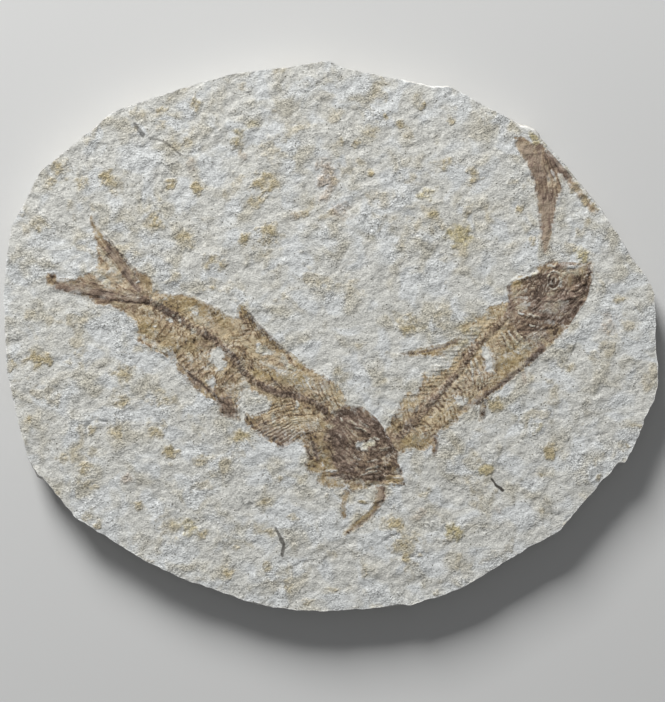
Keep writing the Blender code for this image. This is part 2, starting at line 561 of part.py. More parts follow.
def main():
    """Build the slab and its three fossils."""
    clear_scene()
    pieces = make_collection("fossil_fish_slab")
    tools = make_collection("tools")
    left_room = column("left_room", [LEFT_FISH], LEFT_FISH_GAPS, GAP, FILM_BOTTOM, tools)
    films = [RIGHT_FISH, *TAIL_LOBES]
    right_room = column("right_room", films, RIGHT_FISH_GAPS, GAP, TAIL_SHEET_BOTTOM, tools)
    under_room = column("under_room", [TAIL_UNDER_HEAD], [], GAP, TAIL_SHEET_BOTTOM, tools)
    third_room = column("third_room", [THIRD_TAIL], [], GAP, FILM_BOTTOM, tools)

    slab = lumpy_block(pieces)
    combine(slab, rim_solid(tools), "INTERSECT")
    for room in (left_room, right_room, under_room, third_room):
        combine(slab, room, "DIFFERENCE", "MANIFOLD")

    left_fish = make_left_fish(pieces, tools)
    right_fish = make_right_fish(pieces, tools, left_room)
    third_tail = make_third_tail(pieces, tools)

    slab.data.materials.append(make_material("limestone", LIMESTONE, 0.9))
    left_fish.data.materials.append(make_material("brown bone", BROWN_BONE, 0.6))
    right_fish.data.materials.append(make_material("tan bone", TAN_BONE, 0.6))
    third_tail.data.materials.append(make_material("pale brown bone", PALE_BROWN_BONE, 0.65))

    holder = bpy.data.objects.new("fossil_fish_slab", None)
    pieces.objects.link(holder)
    for piece in (slab, left_fish, right_fish, third_tail):
        piece.parent = holder


main()
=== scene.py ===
"""Fossil fish slab: a split limestone slab with two flattened herrings and the tail of a third.

The slab lies on its back with the fossil face up. Lists of places are in millimetres, with X to the
right across the face and Y up it; meshes are in metres.
"""

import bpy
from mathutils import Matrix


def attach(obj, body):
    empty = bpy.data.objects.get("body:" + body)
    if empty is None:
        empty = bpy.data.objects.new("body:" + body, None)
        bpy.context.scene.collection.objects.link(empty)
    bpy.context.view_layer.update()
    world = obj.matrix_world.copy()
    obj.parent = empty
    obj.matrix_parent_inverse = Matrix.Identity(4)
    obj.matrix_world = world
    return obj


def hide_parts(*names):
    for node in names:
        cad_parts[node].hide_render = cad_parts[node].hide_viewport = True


bl_info = {
    "name": "Fossil Fish Slab",
    "version": (1, 0, 0),
    "blender": (4, 5, 0),
    "location": "3D View > Sidebar > Fossil Slab",
    "description": "Builds a split limestone slab with flattened fossil fish on its face",
    "category": "Add Mesh",
}

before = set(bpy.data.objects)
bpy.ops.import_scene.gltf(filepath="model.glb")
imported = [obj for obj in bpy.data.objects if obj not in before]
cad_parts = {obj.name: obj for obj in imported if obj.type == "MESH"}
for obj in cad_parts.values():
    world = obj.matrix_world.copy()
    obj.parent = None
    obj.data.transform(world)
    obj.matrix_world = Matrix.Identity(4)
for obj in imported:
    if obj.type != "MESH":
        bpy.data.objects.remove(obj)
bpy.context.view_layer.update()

import functools
import math

import bmesh
import bpy
import numpy as np
from mathutils import Vector

MM = 0.001

# Heights in millimetres
FACE = 9.0  # the mean height of the split face
FILM_FLOOR = 8.3  # the underside of a fossil
TAIL_SHEET_TOP = 8.0  # the tail of the small fish where it runs under the large one's head
TAIL_SHEET_FLOOR = 7.5

# The split face: size of the lumps and their height in millimetres, and how they are drawn out
RELIEF = [(15.0, 0.16), (7.5, 0.19), (4.4, 0.132), (2.4, 0.165), (1.35, 0.108)]
RELIEF_TURN = math.radians(25.0)
RELIEF_STRETCH = 1.06
RIM_LEVELS = 14  # rows of points up the rim
RIM_SMOOTHING = 9  # points to each side over which the rim's direction is smoothed
BACK_CELL = 2.4  # spacing of the back's mesh

FILM_RIM = 0.6  # width of the faint rim around a fossil's outline
SKIRT = 0.65  # how far a fossil's mesh runs on under the stone
EDGE_SINK = 0.30  # how deep the end of the skirt lies
EDGE_MARGIN = 1.1  # stone left between a fossil and the slab's outline
BLOCK = 8  # cells to a side of each larger face under a fossil
BONE_WIDTH = 0.55
RAY_DARKNESS = 0.45
FIBRE_STRETCH = 1.7

# Kinds of mark on a fossil: how much cover the first three bring, and how far the others fade the dark
DARK, OCHRE, PURPLE, BARE, WHITE = "dark", "ochre", "purple", "bare", "white"
MARK_COVER = {DARK: 0.9, OCHRE: 0.8, PURPLE: 0.85}
MARK_FADE = {BARE: 0.6, WHITE: 1.0}

SOCKETS = {"value": "NodeSocketFloat", "colour": "NodeSocketColor", "vector": "NodeSocketVector"}
STONE_COLOURS = ("Pale", "Blue", "Warm", "Ochre", "Yellow", "Pink")
FILM_COLOURS = ("Tan", "Brown", "Dark", "Ochre", "Purple")
MID_GREY = (0.5, 0.5, 0.5, 1.0)
SPECK_COLOUR = (0.14, 0.13, 0.10, 1.0)
# near white of the sloping upper rim: the paler colour of freshly broken stone, and a painted
# highlight of the lit bevel
FRESH_AND_HIGHLIGHT_COLOUR = (0.86, 0.86, 0.84, 1.0)
WISP_COLOUR = (0.045, 0.038, 0.030, 1.0)
BEDDING_COLOUR = (0.36, 0.31, 0.23, 1.0)
SKY_COLOUR = (0.95, 0.97, 1.0, 1.0)

# The stage, in metres: half the floor's side, each light's place and size, and the camera's middle
FLOOR_REACH = 3.0
LAMPS = [("key", (-0.46, 1.06, 0.62), 0.48), ("fill", (0.10, -0.10, 0.95), 0.9)]
CAMERA_MIDDLE = (0.00055, -0.0041)

SLAB_OUTLINE = [
    (-2.5, 75.7), (0.0, 75.5), (3.0, 74.1), (5.5, 73.4), (10.0, 72.5), (15.0, 71.4), (23.0, 70.3),
    (28.0, 69.1), (32.2, 69.2), (35.0, 67.6), (40.0, 64.8), (45.0, 62.0), (50.0, 59.6),
    (52.5, 58.4), (54.0, 58.2), (56.5, 57.2), (57.4, 56.0), (58.0, 54.7), (61.0, 51.2),
    (65.7, 46.0), (70.0, 40.7), (74.5, 35.5), (77.5, 30.5), (84.3, 20.0), (86.5, 17.0),
    (88.0, 14.5), (89.0, 11.5), (89.3, 8.0), (89.5, -5.0), (90.0, -8.0), (90.0, -13.5),
    (88.8, -18.0), (86.2, -23.0), (84.5, -28.0), (81.0, -35.0), (79.5, -35.2), (75.0, -39.6),
    (67.0, -48.8), (63.0, -53.8), (61.5, -55.0), (55.0, -57.8), (45.0, -64.0), (38.0, -68.3),
    (31.0, -71.3), (25.0, -73.1), (22.0, -74.2), (15.0, -74.7), (5.0, -75.4), (-1.5, -75.7),
    (-10.0, -75.3), (-20.0, -74.2), (-30.0, -70.4), (-40.0, -67.1), (-50.0, -62.3), (-60.0, -56.3),
    (-70.0, -50.0), (-77.5, -41.0), (-80.8, -38.8), (-83.3, -33.5), (-86.7, -20.0), (-89.0, -10.0),
    (-89.4, 0.0), (-90.0, 10.5), (-89.0, 22.0), (-87.6, 30.0), (-82.5, 40.0), (-79.8, 45.3),
    (-76.0, 48.3), (-70.5, 53.0), (-65.0, 57.6), (-60.0, 61.5), (-55.0, 63.5), (-35.0, 70.0),
    (-25.5, 72.4), (-15.0, 73.6), (-6.5, 74.8),
]
# Small ledges and ridges of the face: line of points, width, rise
LEDGES = [
    ([(-66.6, -28.6), (-66.4, -24.4), (-65.0, -23.0), (-61.0, -23.5)], 0.9, -0.34),
    ([(-41.0, -54.0), (-37.0, -52.4), (-33.0, -50.0)], 0.9, -0.28),
    ([(13.5, -57.0), (16.0, -55.0), (19.0, -54.0)], 0.9, -0.28),
    ([(-10.0, -63.0), (-7.0, -61.8), (-4.0, -61.5)], 0.9, -0.28),
    ([(17.0, -65.0), (19.5, -62.5)], 0.9, 0.26), ([(26.0, -41.0), (28.5, -42.0)], 0.8, 0.20),
    ([(39.0, -57.0), (41.0, -58.0)], 0.8, 0.20), ([(42.0, -38.9), (44.0, -38.9)], 0.8, 0.18),
    ([(23.9, 38.8), (24.6, 40.6), (27.0, 41.2), (29.8, 40.0), (32.0, 38.2)], 0.9, -0.24),
    ([(23.9, 38.8), (25.6, 37.0), (29.0, 36.2), (32.0, 37.0), (32.0, 38.2)], 0.9, 0.20),
    ([(23.0, -60.4), (19.6, -60.8), (16.6, -59.2), (17.0, -57.6)], 0.9, -0.26),
]
# Fresh chips out of the face's edge: x, y, reach along the edge, depth
CHIPS = [
    (24.0, 70.0, 5.0, 0.7), (31.0, 69.3, 3.0, 0.6), (53.0, 58.3, 3.0, 1.0), (57.0, 56.5, 2.2, 1.1),
    (60.0, 52.4, 3.0, 0.2), (67.6, 43.4, 2.4, 0.8), (71.5, 39.0, 3.2, 0.4), (75.0, 34.5, 3.0, 0.5),
    (83.0, 22.0, 4.0, 0.4), (-80.0, -38.5, 3.0, 0.9), (79.0, -35.6, 2.0, 0.6),
    (61.5, -54.8, 2.0, 0.5), (-66.0, 57.0, 3.0, 0.4), (-20.0, -74.0, 3.0, 0.5),
    (18.0, -74.6, 3.5, 0.6),
]

LEFT_FISH = [
    # upper tail lobe, then the back and the dorsal fin
    (-66.6, 17.2), (-64.0, 18.6), (-63.4, 21.0), (-64.4, 26.0), (-65.6, 31.5), (-65.2, 33.0),
    (-64.2, 30.4), (-61.0, 26.6), (-58.6, 24.4), (-55.2, 20.0), (-53.2, 18.2), (-50.8, 17.2),
    (-48.8, 15.0), (-48.2, 12.6), (-44.6, 11.5), (-43.0, 11.0), (-40.8, 11.7), (-38.0, 11.2),
    (-35.2, 9.3), (-30.4, 7.4), (-28.6, 5.5), (-25.4, 5.0), (-25.2, 7.6), (-24.2, 8.9),
    (-22.6, 7.5), (-20.6, 4.2), (-17.2, 1.1), (-12.8, -3.4), (-9.4, -6.0), (-6.4, -8.6),
    (-3.2, -9.8), (1.0, -12.5), (3.2, -14.2), (4.6, -18.8),
    # head and jaws
    (8.8, -19.7), (12.2, -22.6), (16.2, -27.9), (18.2, -31.6), (17.8, -34.4), (19.2, -36.6),
    (20.2, -39.6), (19.9, -40.9), (15.2, -40.8), (12.4, -41.2), (8.4, -42.2), (6.0, -42.6),
    (4.4, -40.9), (2.4, -41.6), (-2.5, -41.3), (-3.7, -39.4), (-3.2, -37.6), (-5.4, -37.4),
    (-7.1, -35.6), (-6.3, -33.1), (-7.2, -30.4), (-8.6, -28.8), (-11.2, -29.2),
    # belly, the pale bay behind the ribs, and the anal fin
    (-13.2, -30.7), (-16.6, -29.0), (-20.4, -26.5), (-23.6, -24.4), (-23.0, -21.2), (-20.8, -21.7),
    (-16.8, -20.0), (-16.5, -18.4), (-20.0, -15.4), (-24.0, -14.8), (-25.2, -18.4), (-24.9, -22.9),
    (-30.8, -21.4), (-30.2, -19.0), (-33.4, -17.2), (-37.4, -14.3), (-39.4, -11.8), (-41.8, -9.6),
    (-42.4, -7.2), (-47.0, -4.7), (-52.8, -1.8), (-52.8, 1.6), (-54.8, 5.2), (-57.6, 7.0),
    (-60.4, 8.1), (-63.8, 8.3), (-65.4, 10.2), (-70.0, 11.5), (-75.2, 12.6), (-77.6, 14.2),
    (-77.2, 17.1), (-75.2, 17.2), (-74.6, 15.6), (-70.0, 15.5),
]
LEFT_GAPS = [
    [(-32.8, -4.6), (-31.2, -3.0), (-29.6, -3.6), (-29.4, -6.4), (-28.6, -8.2), (-30.2, -9.0),
     (-32.4, -6.8)],
    [(-33.8, -12.2), (-32.6, -11.5), (-31.4, -12.6), (-32.4, -13.8)],
    [(-20.0, -2.4), (-17.4, -3.2), (-15.8, -4.8), (-18.6, -4.9), (-19.9, -4.0)],
]
LEFT_SPINE = [
    (-52.4, 10.9), (-47.0, 8.4), (-42.5, 5.4), (-36.5, 1.7), (-31.2, -1.4), (-26.7, -5.6),
    (-24.0, -9.7), (-20.0, -13.0), (-14.5, -15.4), (-8.4, -16.6), (-4.4, -18.2), (-1.6, -20.4),
]
# Marks, laid one over the other in this order: kind, amount, width, line of points
LEFT_MARKS = [
    (BARE, 0.72, 3.2, [(-65.0, 18.4), (-61.4, 14.4)]),
    (DARK, -0.80, 4.4, [(-66.0, 20.4), (-60.6, 14.8)]),
    (DARK, -0.25, 3.4, [(-56.0, 11.0), (-49.0, 8.0)]),
    (BARE, 0.25, 3.6, [(-35.0, -5.6), (-31.0, -8.4)]),
    (DARK, -0.85, 5.0, [(-14.0, -9.6), (-7.0, -13.6)]),
    (BARE, 0.32, 4.0, [(-13.0, -10.0), (-8.0, -13.0)]),
    (DARK, 0.48, 5.0, [(-6.4, -28.6), (-1.0, -31.4)]),
    (DARK, 0.36, 4.0, [(7.6, -31.6), (13.0, -32.8)]),
    (DARK, 0.66, 3.6, [(15.6, -31.6), (19.0, -31.0)]),
    (DARK, -0.20, 5.0, [(-36.0, 3.0), (-22.0, -5.6)]),
    (DARK, -0.40, 4.6, [(-28.0, -14.6), (-23.6, -17.6)]),
    (BARE, 0.22, 4.0, [(-27.4, -15.0), (-24.0, -17.0)]),
    # tail
    (DARK, 0.45, 2.0, [(-61.6, 26.4), (-58.0, 22.4), (-53.6, 17.0)]),
    (DARK, 0.60, 0.6, [(-60.6, 26.4), (-57.0, 22.0), (-53.6, 18.2)]),
    (PURPLE, 0.50, 2.4, [(-61.0, 24.0), (-55.0, 17.0)]),
    (OCHRE, 0.80, 1.4, [(-66.0, 33.4), (-65.0, 30.6), (-63.0, 27.4)]),
    (BARE, 0.50, 2.6, [(-62.4, 23.0), (-59.4, 18.8), (-57.6, 15.6)]),
    (DARK, -0.30, 3.4, [(-62.4, 22.0), (-58.4, 16.6)]),
    (PURPLE, 0.90, 1.6, [(-56.5, 17.5), (-54.4, 15.0), (-52.5, 12.5)]),
    (DARK, 0.60, 1.2, [(-56.5, 17.5), (-54.4, 15.0), (-52.5, 12.5)]),
    (OCHRE, 0.90, 4.6, [(-50.6, 15.2)]),
    (BARE, 0.80, 0.9, [(-52.5, 14.8)]),
    (BARE, 0.80, 1.0, [(-60.5, 17.5)]),
    (BARE, 0.80, 1.0, [(-61.5, 13.5)]),
    (OCHRE, 0.80, 2.0, [(-59.0, 12.5)]),
    (PURPLE, 0.70, 3.0, [(-53.0, 10.2), (-62.0, 11.2), (-74.0, 13.6)]),
    (DARK, 0.50, 0.8, [(-50.0, 9.2), (-60.0, 9.8), (-68.0, 11.9), (-75.4, 13.0)]),
    (DARK, 0.35, 0.6, [(-50.0, 9.8), (-60.0, 11.8), (-69.0, 13.6), (-76.5, 15.0)]),
    (OCHRE, 0.60, 2.4, [(-70.0, 14.4), (-76.6, 14.6)]),
    (DARK, 0.80, 0.6, [(-57.0, 10.9), (-53.0, 11.2)]),
    (DARK, 0.80, 0.6, [(-60.0, 9.8), (-50.0, 8.8)]),
    (DARK, 0.55, 2.0, [(-76.6, 16.0), (-76.0, 16.8)]),
    (WHITE, 0.80, 0.6, [(-52.5, 10.5)]),
    (WHITE, 0.80, 0.6, [(-51.5, 11.0)]),
    (WHITE, 0.80, 0.6, [(-48.5, 8.8)]),
    (DARK, 0.70, 2.4, [(-50.0, 9.5), (-46.0, 7.6), (-42.0, 5.5)]),
    # back half of the body
    (DARK, 0.26, 4.0, [(-45.0, 9.8), (-38.0, 9.2), (-30.0, 5.2)]),
    (OCHRE, 0.80, 5.0, [(-44.0, 9.4), (-37.0, 8.6), (-29.0, 4.4)]),
    (OCHRE, 0.60, 5.0, [(-50.0, 2.4), (-43.0, -3.0)]),
    (DARK, 0.40, 0.9, [(-52.0, -1.2), (-47.0, -4.0), (-42.6, -6.4)]),
    (OCHRE, 0.50, 3.0, [(-46.0, 9.0), (-42.0, 9.0)]),
    (BARE, 0.35, 2.4, [(-37.6, 7.0), (-36.4, 7.0)]),
    (BARE, 0.90, 1.1, [(-44.8, 4.4), (-43.4, 4.2)]),
    (BARE, 0.70, 0.8, [(-43.0, 5.7)]),
    (BARE, 0.80, 0.8, [(-41.3, 4.3)]),
    (BARE, 0.70, 1.0, [(-37.8, 2.4), (-37.8, 1.2)]),
    (BARE, 0.70, 0.9, [(-37.0, 4.2)]),
    (BARE, 0.70, 0.9, [(-48.0, 2.6)]),
    (BARE, 0.70, 0.8, [(-47.3, 1.0)]),
    (DARK, 0.55, 2.6, [(-37.2, -1.3)]),
    (PURPLE, 0.50, 2.8, [(-36.0, -2.4), (-32.6, -3.6)]),
    (BARE, 0.45, 2.2, [(-38.0, -6.5)]),
    (BARE, 0.45, 2.0, [(-34.0, -8.7)]),
    (DARK, 0.50, 3.4, [(-28.0, -10.5)]),
    (DARK, 0.50, 1.2, [(-41.6, -9.4), (-38.2, -13.0), (-33.4, -16.6), (-31.0, -17.4)]),
    (PURPLE, 0.80, 2.6, [(-37.0, -12.6), (-32.0, -15.6)]),
    (PURPLE, 0.90, 5.4, [(-29.0, -18.6), (-27.6, -21.0)]),
    (DARK, 0.42, 5.0, [(-28.8, -18.8), (-27.4, -20.8)]),
    (DARK, 0.40, 1.6, [(-30.4, -21.0), (-27.0, -22.2), (-25.0, -22.8)]),
    # darkest spots of the backbone
    (DARK, 0.90, 0.9, [(-38.7, 2.9)]),
    (DARK, 0.80, 0.7, [(-34.6, 3.0), (-33.6, 0.0)]),
    (DARK, 0.85, 0.8, [(-31.6, -0.8)]),
    (DARK, 0.90, 0.9, [(-28.0, -4.0)]),
    (DARK, 1.00, 1.1, [(-26.6, -5.6)]),
    (DARK, 0.90, 0.9, [(-25.4, -7.5)]),
    (DARK, 0.90, 0.9, [(-24.3, -9.3)]),
    (DARK, 0.90, 0.9, [(-19.8, -13.1)]),
    (PURPLE, 0.80, 1.4, [(-18.0, -14.5), (-13.0, -16.5)]),
    (DARK, 0.70, 1.0, [(-5.0, -17.3), (-3.5, -18.8), (-2.0, -20.3)]),
    # dorsal fin and the back in front of it
    (OCHRE, 0.70, 2.8, [(-24.5, 7.6), (-20.0, 2.4), (-13.8, -3.4)]),
    (DARK, 0.42, 2.2, [(-24.2, 7.4), (-20.0, 2.4), (-13.6, -3.4)]),
    (DARK, 0.50, 0.5, [(-23.6, 7.8), (-19.4, 3.0), (-13.2, -3.0)]),
    (DARK, 0.60, 1.2, [(-13.7, -3.4)]),
    (DARK, 0.70, 0.7, [(-12.0, -4.5), (-10.0, -8.5)]),
    (OCHRE, 0.80, 1.6, [(-10.5, -5.0), (-8.0, -8.0)]),
    (BARE, 0.60, 1.6, [(-18.0, -7.5), (-15.0, -9.0)]),
    (BARE, 0.75, 1.9, [(-13.0, -6.4), (-10.4, -9.0)]),
    (OCHRE, 0.70, 3.2, [(-20.0, -10.0), (-14.0, -11.5), (-8.0, -12.5)]),
    (DARK, 0.40, 2.8, [(-24.0, -3.0), (-24.0, -6.0)]),
    (DARK, 0.55, 2.4, [(-22.0, -8.0)]),
    # rib cage
    (PURPLE, 0.70, 5.0, [(-19.0, -25.2), (-12.0, -28.2)]),
    (DARK, 0.45, 2.2, [(-22.8, -22.6), (-19.6, -25.8), (-13.0, -29.6)]),
    (DARK, 0.60, 0.8, [(-23.4, -21.4), (-21.6, -24.2), (-17.0, -28.2), (-13.0, -30.2)]),
    (BARE, 0.90, 1.2, [(-9.2, -18.0), (-9.2, -19.6)]),
    (BARE, 0.55, 2.2, [(-50.8, -0.6), (-46.0, -3.6), (-43.0, -5.4)]),
    (BARE, 0.45, 2.6, [(-37.0, 5.6), (-33.6, 3.4)]),
    (DARK, -0.30, 3.4, [(-40.0, 6.4), (-33.0, 2.6)]),
    (DARK, -0.30, 3.0, [(-22.0, -4.4), (-16.0, -8.8)]),
    (BARE, 0.45, 2.0, [(-26.0, -13.8), (-22.6, -13.6)]),
    (BARE, 0.90, 1.4, [(-15.7, -20.8), (-15.7, -23.0)]),
    (OCHRE, 0.80, 1.6, [(-8.3, -19.2)]),
    (DARK, 0.70, 0.6, [(-20.8, -21.8), (-16.5, -19.9)]),
    (DARK, 0.70, 1.8, [(-6.6, -31.0), (-5.8, -32.8)]),
    (BARE, 0.60, 0.5, [(2.8, -19.2), (0.3, -16.3)]),
    (BARE, 0.60, 0.5, [(0.7, -19.0), (-1.5, -14.5)]),
    (BARE, 0.60, 0.5, [(-0.5, -17.5), (-2.6, -13.2)]),
    (BARE, 0.60, 0.5, [(-4.0, -16.5), (-6.3, -12.5)]),
    (BARE, 0.55, 0.5, [(1.5, -15.5), (2.3, -13.7), (3.0, -14.0)]),
    (BARE, 0.45, 2.8, [(-3.0, -9.4), (3.0, -12.8), (5.0, -18.0)]),
    (BARE, 0.25, 4.2, [(-6.0, -11.8), (1.6, -16.4)]),
    (DARK, -0.35, 4.6, [(-6.0, -11.8), (1.6, -16.4)]),
    # head
    (PURPLE, 0.90, 5.6, [(3.5, -21.6), (8.0, -22.8), (13.0, -25.4)]),
    (DARK, 0.42, 3.2, [(2.6, -20.8), (7.0, -21.2)]),
    (DARK, 0.45, 2.6, [(10.4, -24.0), (12.6, -24.6), (15.0, -27.6), (15.4, -29.6)]),
    (DARK, 0.60, 1.6, [(11.6, -23.0), (12.8, -24.4)]),
    (OCHRE, 0.60, 2.0, [(9.4, -20.8), (10.8, -22.0)]),
    (OCHRE, 0.80, 4.2, [(-1.8, -24.6), (-1.4, -29.0), (-0.8, -34.0)]),
    (OCHRE, 0.60, 3.0, [(-5.2, -27.6), (-3.4, -29.6)]),
    (BARE, 0.55, 1.3, [(-1.2, -24.4), (0.3, -25.0)]),
    (DARK, -0.45, 3.0, [(-1.8, -27.0), (-1.4, -30.0), (-0.2, -35.0)]),
    (OCHRE, 0.60, 3.4, [(-1.4, -28.0), (-0.6, -35.0)]),
    (BARE, 0.25, 1.4, [(-2.6, -27.6), (-2.4, -31.0), (-0.6, -36.6)]),
    (BARE, 0.60, 1.0, [(-0.6, -36.9), (1.6, -36.9)]),
    (DARK, 0.70, 1.2, [(-5.4, -28.0), (-4.8, -29.2)]),
    (DARK, 0.90, 1.3, [(-6.8, -30.2), (-5.2, -33.2)]),
    (PURPLE, 0.90, 1.4, [(-4.6, -29.4), (-3.6, -33.4)]),
    (DARK, 0.50, 0.8, [(-4.8, -29.4), (-3.8, -33.6)]),
    (PURPLE, 1.00, 4.2, [(0.6, -27.4), (2.6, -28.8)]),
    (DARK, 0.62, 3.6, [(0.6, -27.4), (2.8, -28.8)]),
    (DARK, 0.50, 1.6, [(-1.0, -22.4), (-0.4, -21.6), (2.6, -20.6)]),
    (WHITE, 0.80, 0.7, [(0.1, -21.1), (0.5, -21.0)]),
    (WHITE, 0.70, 0.7, [(2.8, -22.5), (3.2, -23.2)]),
    (WHITE, 0.55, 0.5, [(4.2, -24.8), (6.0, -26.0)]),
    (WHITE, 0.55, 0.5, [(5.2, -23.2), (7.2, -24.2)]),
    (WHITE, 0.60, 0.6, [(6.6, -24.8), (9.8, -25.9)]),
    (WHITE, 0.50, 0.5, [(7.6, -23.0), (10.2, -25.0)]),
    (WHITE, 0.45, 0.5, [(8.0, -24.0), (8.8, -24.8)]),
    (DARK, 0.75, 1.0, [(6.4, -25.4), (7.8, -26.0)]),
    (DARK, 0.60, 0.6, [(8.6, -23.6), (11.6, -25.8)]),
    (OCHRE, 0.45, 2.2, [(7.6, -27.2), (9.8, -27.6)]),
    (DARK, 0.45, 1.0, [(7.6, -26.8), (10.6, -27.2)]),
    (BARE, 1.00, 2.4, [(7.9, -29.8), (9.2, -30.1)]),
    (BARE, 1.00, 2.1, [(10.7, -29.2), (11.4, -29.3)]),
    (DARK, 0.90, 0.7, [(9.9, -28.5), (9.9, -28.9)]),
    (DARK, 0.95, 0.9, [(11.6, -28.0), (12.8, -28.7), (12.8, -30.0), (11.4, -30.6)]),
    (WHITE, 0.90, 0.6, [(11.9, -27.8), (13.3, -28.2)]),
    (DARK, 0.70, 0.9, [(13.6, -27.0), (14.6, -28.6)]),
    (DARK, 0.55, 0.7, [(6.6, -30.6), (9.0, -31.5), (13.0, -31.9), (17.0, -31.2)]),
    (DARK, 0.45, 0.6, [(10.6, -32.6), (15.0, -32.6), (18.0, -32.2)]),
    (BARE, 0.35, 0.8, [(13.4, -30.9), (16.0, -30.5)]),
    (PURPLE, 0.80, 5.4, [(2.6, -33.6), (4.8, -34.4)]),
    (OCHRE, 0.55, 3.6, [(6.2, -33.4), (9.6, -33.2)]),
    (BARE, 0.40, 0.8, [(6.6, -33.2), (7.8, -33.8)]),
    (BARE, 0.45, 0.6, [(6.2, -34.4), (7.4, -35.0)]),
    (BARE, 0.45, 0.7, [(10.2, -34.4), (12.6, -33.6)]),
    (DARK, 0.65, 1.2, [(3.0, -36.0), (5.0, -36.9), (7.2, -37.0)]),
    (DARK, 0.70, 0.6,
     [(5.4, -35.6), (9.6, -36.0), (11.2, -35.2), (13.2, -34.3), (15.6, -34.1), (17.4, -34.8)]),
    (BARE, 0.55, 0.9, [(9.8, -36.6), (12.8, -35.6)]),
    (BARE, 0.60, 0.6, [(8.4, -38.1), (10.0, -37.5), (12.8, -36.8)]),
    (DARK, 0.75, 2.6, [(13.0, -38.6), (14.0, -39.2)]),
    (DARK, 0.60, 1.2, [(14.8, -35.6), (16.0, -36.6)]),
    (OCHRE, 1.00, 2.6, [(16.4, -35.6), (17.6, -36.4)]),
    (OCHRE, 1.00, 2.2, [(16.0, -38.8), (19.0, -39.0)]),
    (DARK, 0.85, 0.6, [(16.4, -34.6), (18.4, -35.4), (19.1, -36.8)]),
    (DARK, 0.75, 0.5, [(10.4, -37.9), (14.0, -37.8), (19.4, -37.8)]),
    (DARK, 0.70, 0.5, [(10.2, -39.0), (12.0, -39.3)]),
    (BARE, 0.50, 0.4, [(16.4, -38.8), (19.2, -38.8)]),
    (DARK, 0.75, 0.5, [(15.2, -39.7), (18.4, -39.6), (19.9, -40.2)]),
    (BARE, 0.50, 0.4, [(15.6, -40.1), (18.0, -40.4)]),
    (DARK, 1.00, 0.8, [(19.9, -40.3), (20.0, -40.7)]),
    (BARE, 0.50, 1.0, [(18.2, -36.4), (18.4, -37.0)]),
    (OCHRE, 0.80, 3.0, [(-2.6, -39.0), (0.0, -40.2), (3.0, -40.8)]),
    (PURPLE, 0.90, 1.8, [(1.2, -38.0), (5.0, -38.8)]),
    (DARK, 0.70, 1.4, [(0.4, -38.0), (5.2, -38.9)]),
    (DARK, 0.60, 0.4, [(-1.6, -38.2), (2.0, -39.4), (5.0, -39.9)]),
    (BARE, 0.40, 1.6, [(7.4, -39.6), (8.8, -40.2)]),
    (DARK, 0.60, 1.0, [(5.6, -42.3), (6.4, -42.5)]),
    (BARE, 0.80, 1.4, [(11.2, -40.6), (12.6, -41.6)]),
    (OCHRE, 1.00, 3.2, [(-5.4, -35.4), (-3.6, -36.2)]),
    (DARK, 0.55, 1.6, [(-5.4, -34.8), (-4.2, -35.6)]),
    (DARK, 0.50, 0.5, [(-6.8, -34.6), (-6.4, -36.0), (-5.2, -37.0)]),
    (WHITE, 0.60, 0.7, [(-2.2, -34.6), (-2.2, -35.4)]),
]
# Raised ridges of the head's plates
LEFT_PLATES = [
    [(0.2, -26.0), (-1.0, -29.0), (0.6, -33.0), (2.2, -36.6), (6.6, -37.4)],
    [(14.6, -35.4), (17.2, -35.2), (19.0, -36.6)],
    [(13.6, -38.6), (16.6, -38.6), (19.6, -38.8)],
    [(14.0, -40.3), (17.0, -40.3), (19.4, -40.5)],
    [(9.4, -36.4), (12.0, -35.4), (15.4, -34.6)],
    [(3.6, -22.6), (8.2, -25.2), (10.8, -26.6)],
]
# Ribs, spines and fin rays: line of roots, line of tips, number, sideways bend, darkness
LEFT_FANS = [
    # ribs: dark lines with pale ridges between them
    ([(-4.4, -21.2), (-2.2, -25.8)], [(-21.4, -25.0), (-11.6, -29.8)], 9, -1.3, 0.50),
    ([(-4.1, -21.8), (-2.4, -25.3)], [(-20.4, -25.8), (-12.6, -29.4)], 8, -1.3, -0.75),
    ([(-12.0, -17.6), (-5.0, -19.6)], [(-20.6, -21.0), (-16.0, -21.4)], 4, -0.5, 0.40),
    # spines of the nape
    ([(-12.0, -15.8), (3.4, -19.4)], [(-17.0, -9.6), (0.8, -12.8)], 14, 0.4, 0.60),
    # spines above and below the backbone
    ([(-49.0, 10.2), (-13.0, -15.0)], [(-49.4, 12.2), (-17.0, -8.0)], 24, 0.0, 0.30),
    ([(-47.0, 7.4), (-24.0, -10.4)], [(-50.4, 1.6), (-31.0, -16.0)], 17, 0.5, 0.30),
    # bristles of the belly
    ([(-41.4, -7.6), (-31.0, -17.4)], [(-37.8, -11.0), (-27.6, -19.4)], 9, 0.3, 0.55),
    # dorsal and anal fins
    ([(-23.8, 3.4), (-13.6, -4.4)], [(-25.0, 8.4), (-16.4, -0.4)], 9, 0.0, 0.42),
    ([(-30.4, -16.8), (-25.4, -16.4)], [(-29.6, -22.0), (-24.8, -23.4)], 6, 0.4, 0.40),
    # tail
    ([(-54.4, 14.2), (-53.4, 17.4)], [(-64.6, 26.4), (-63.8, 30.6)], 7, 0.0, 0.45),
    ([(-54.2, 14.6), (-53.6, 17.0)], [(-64.6, 27.0), (-64.0, 30.0)], 7, 0.0, -0.30),
    ([(-52.6, 12.2), (-52.0, 9.0)], [(-76.6, 16.4), (-75.6, 12.8)], 7, 0.0, 0.45),
    ([(-52.4, 11.8), (-52.0, 9.4)], [(-76.6, 15.8), (-75.8, 13.2)], 7, 0.0, -0.30),
]

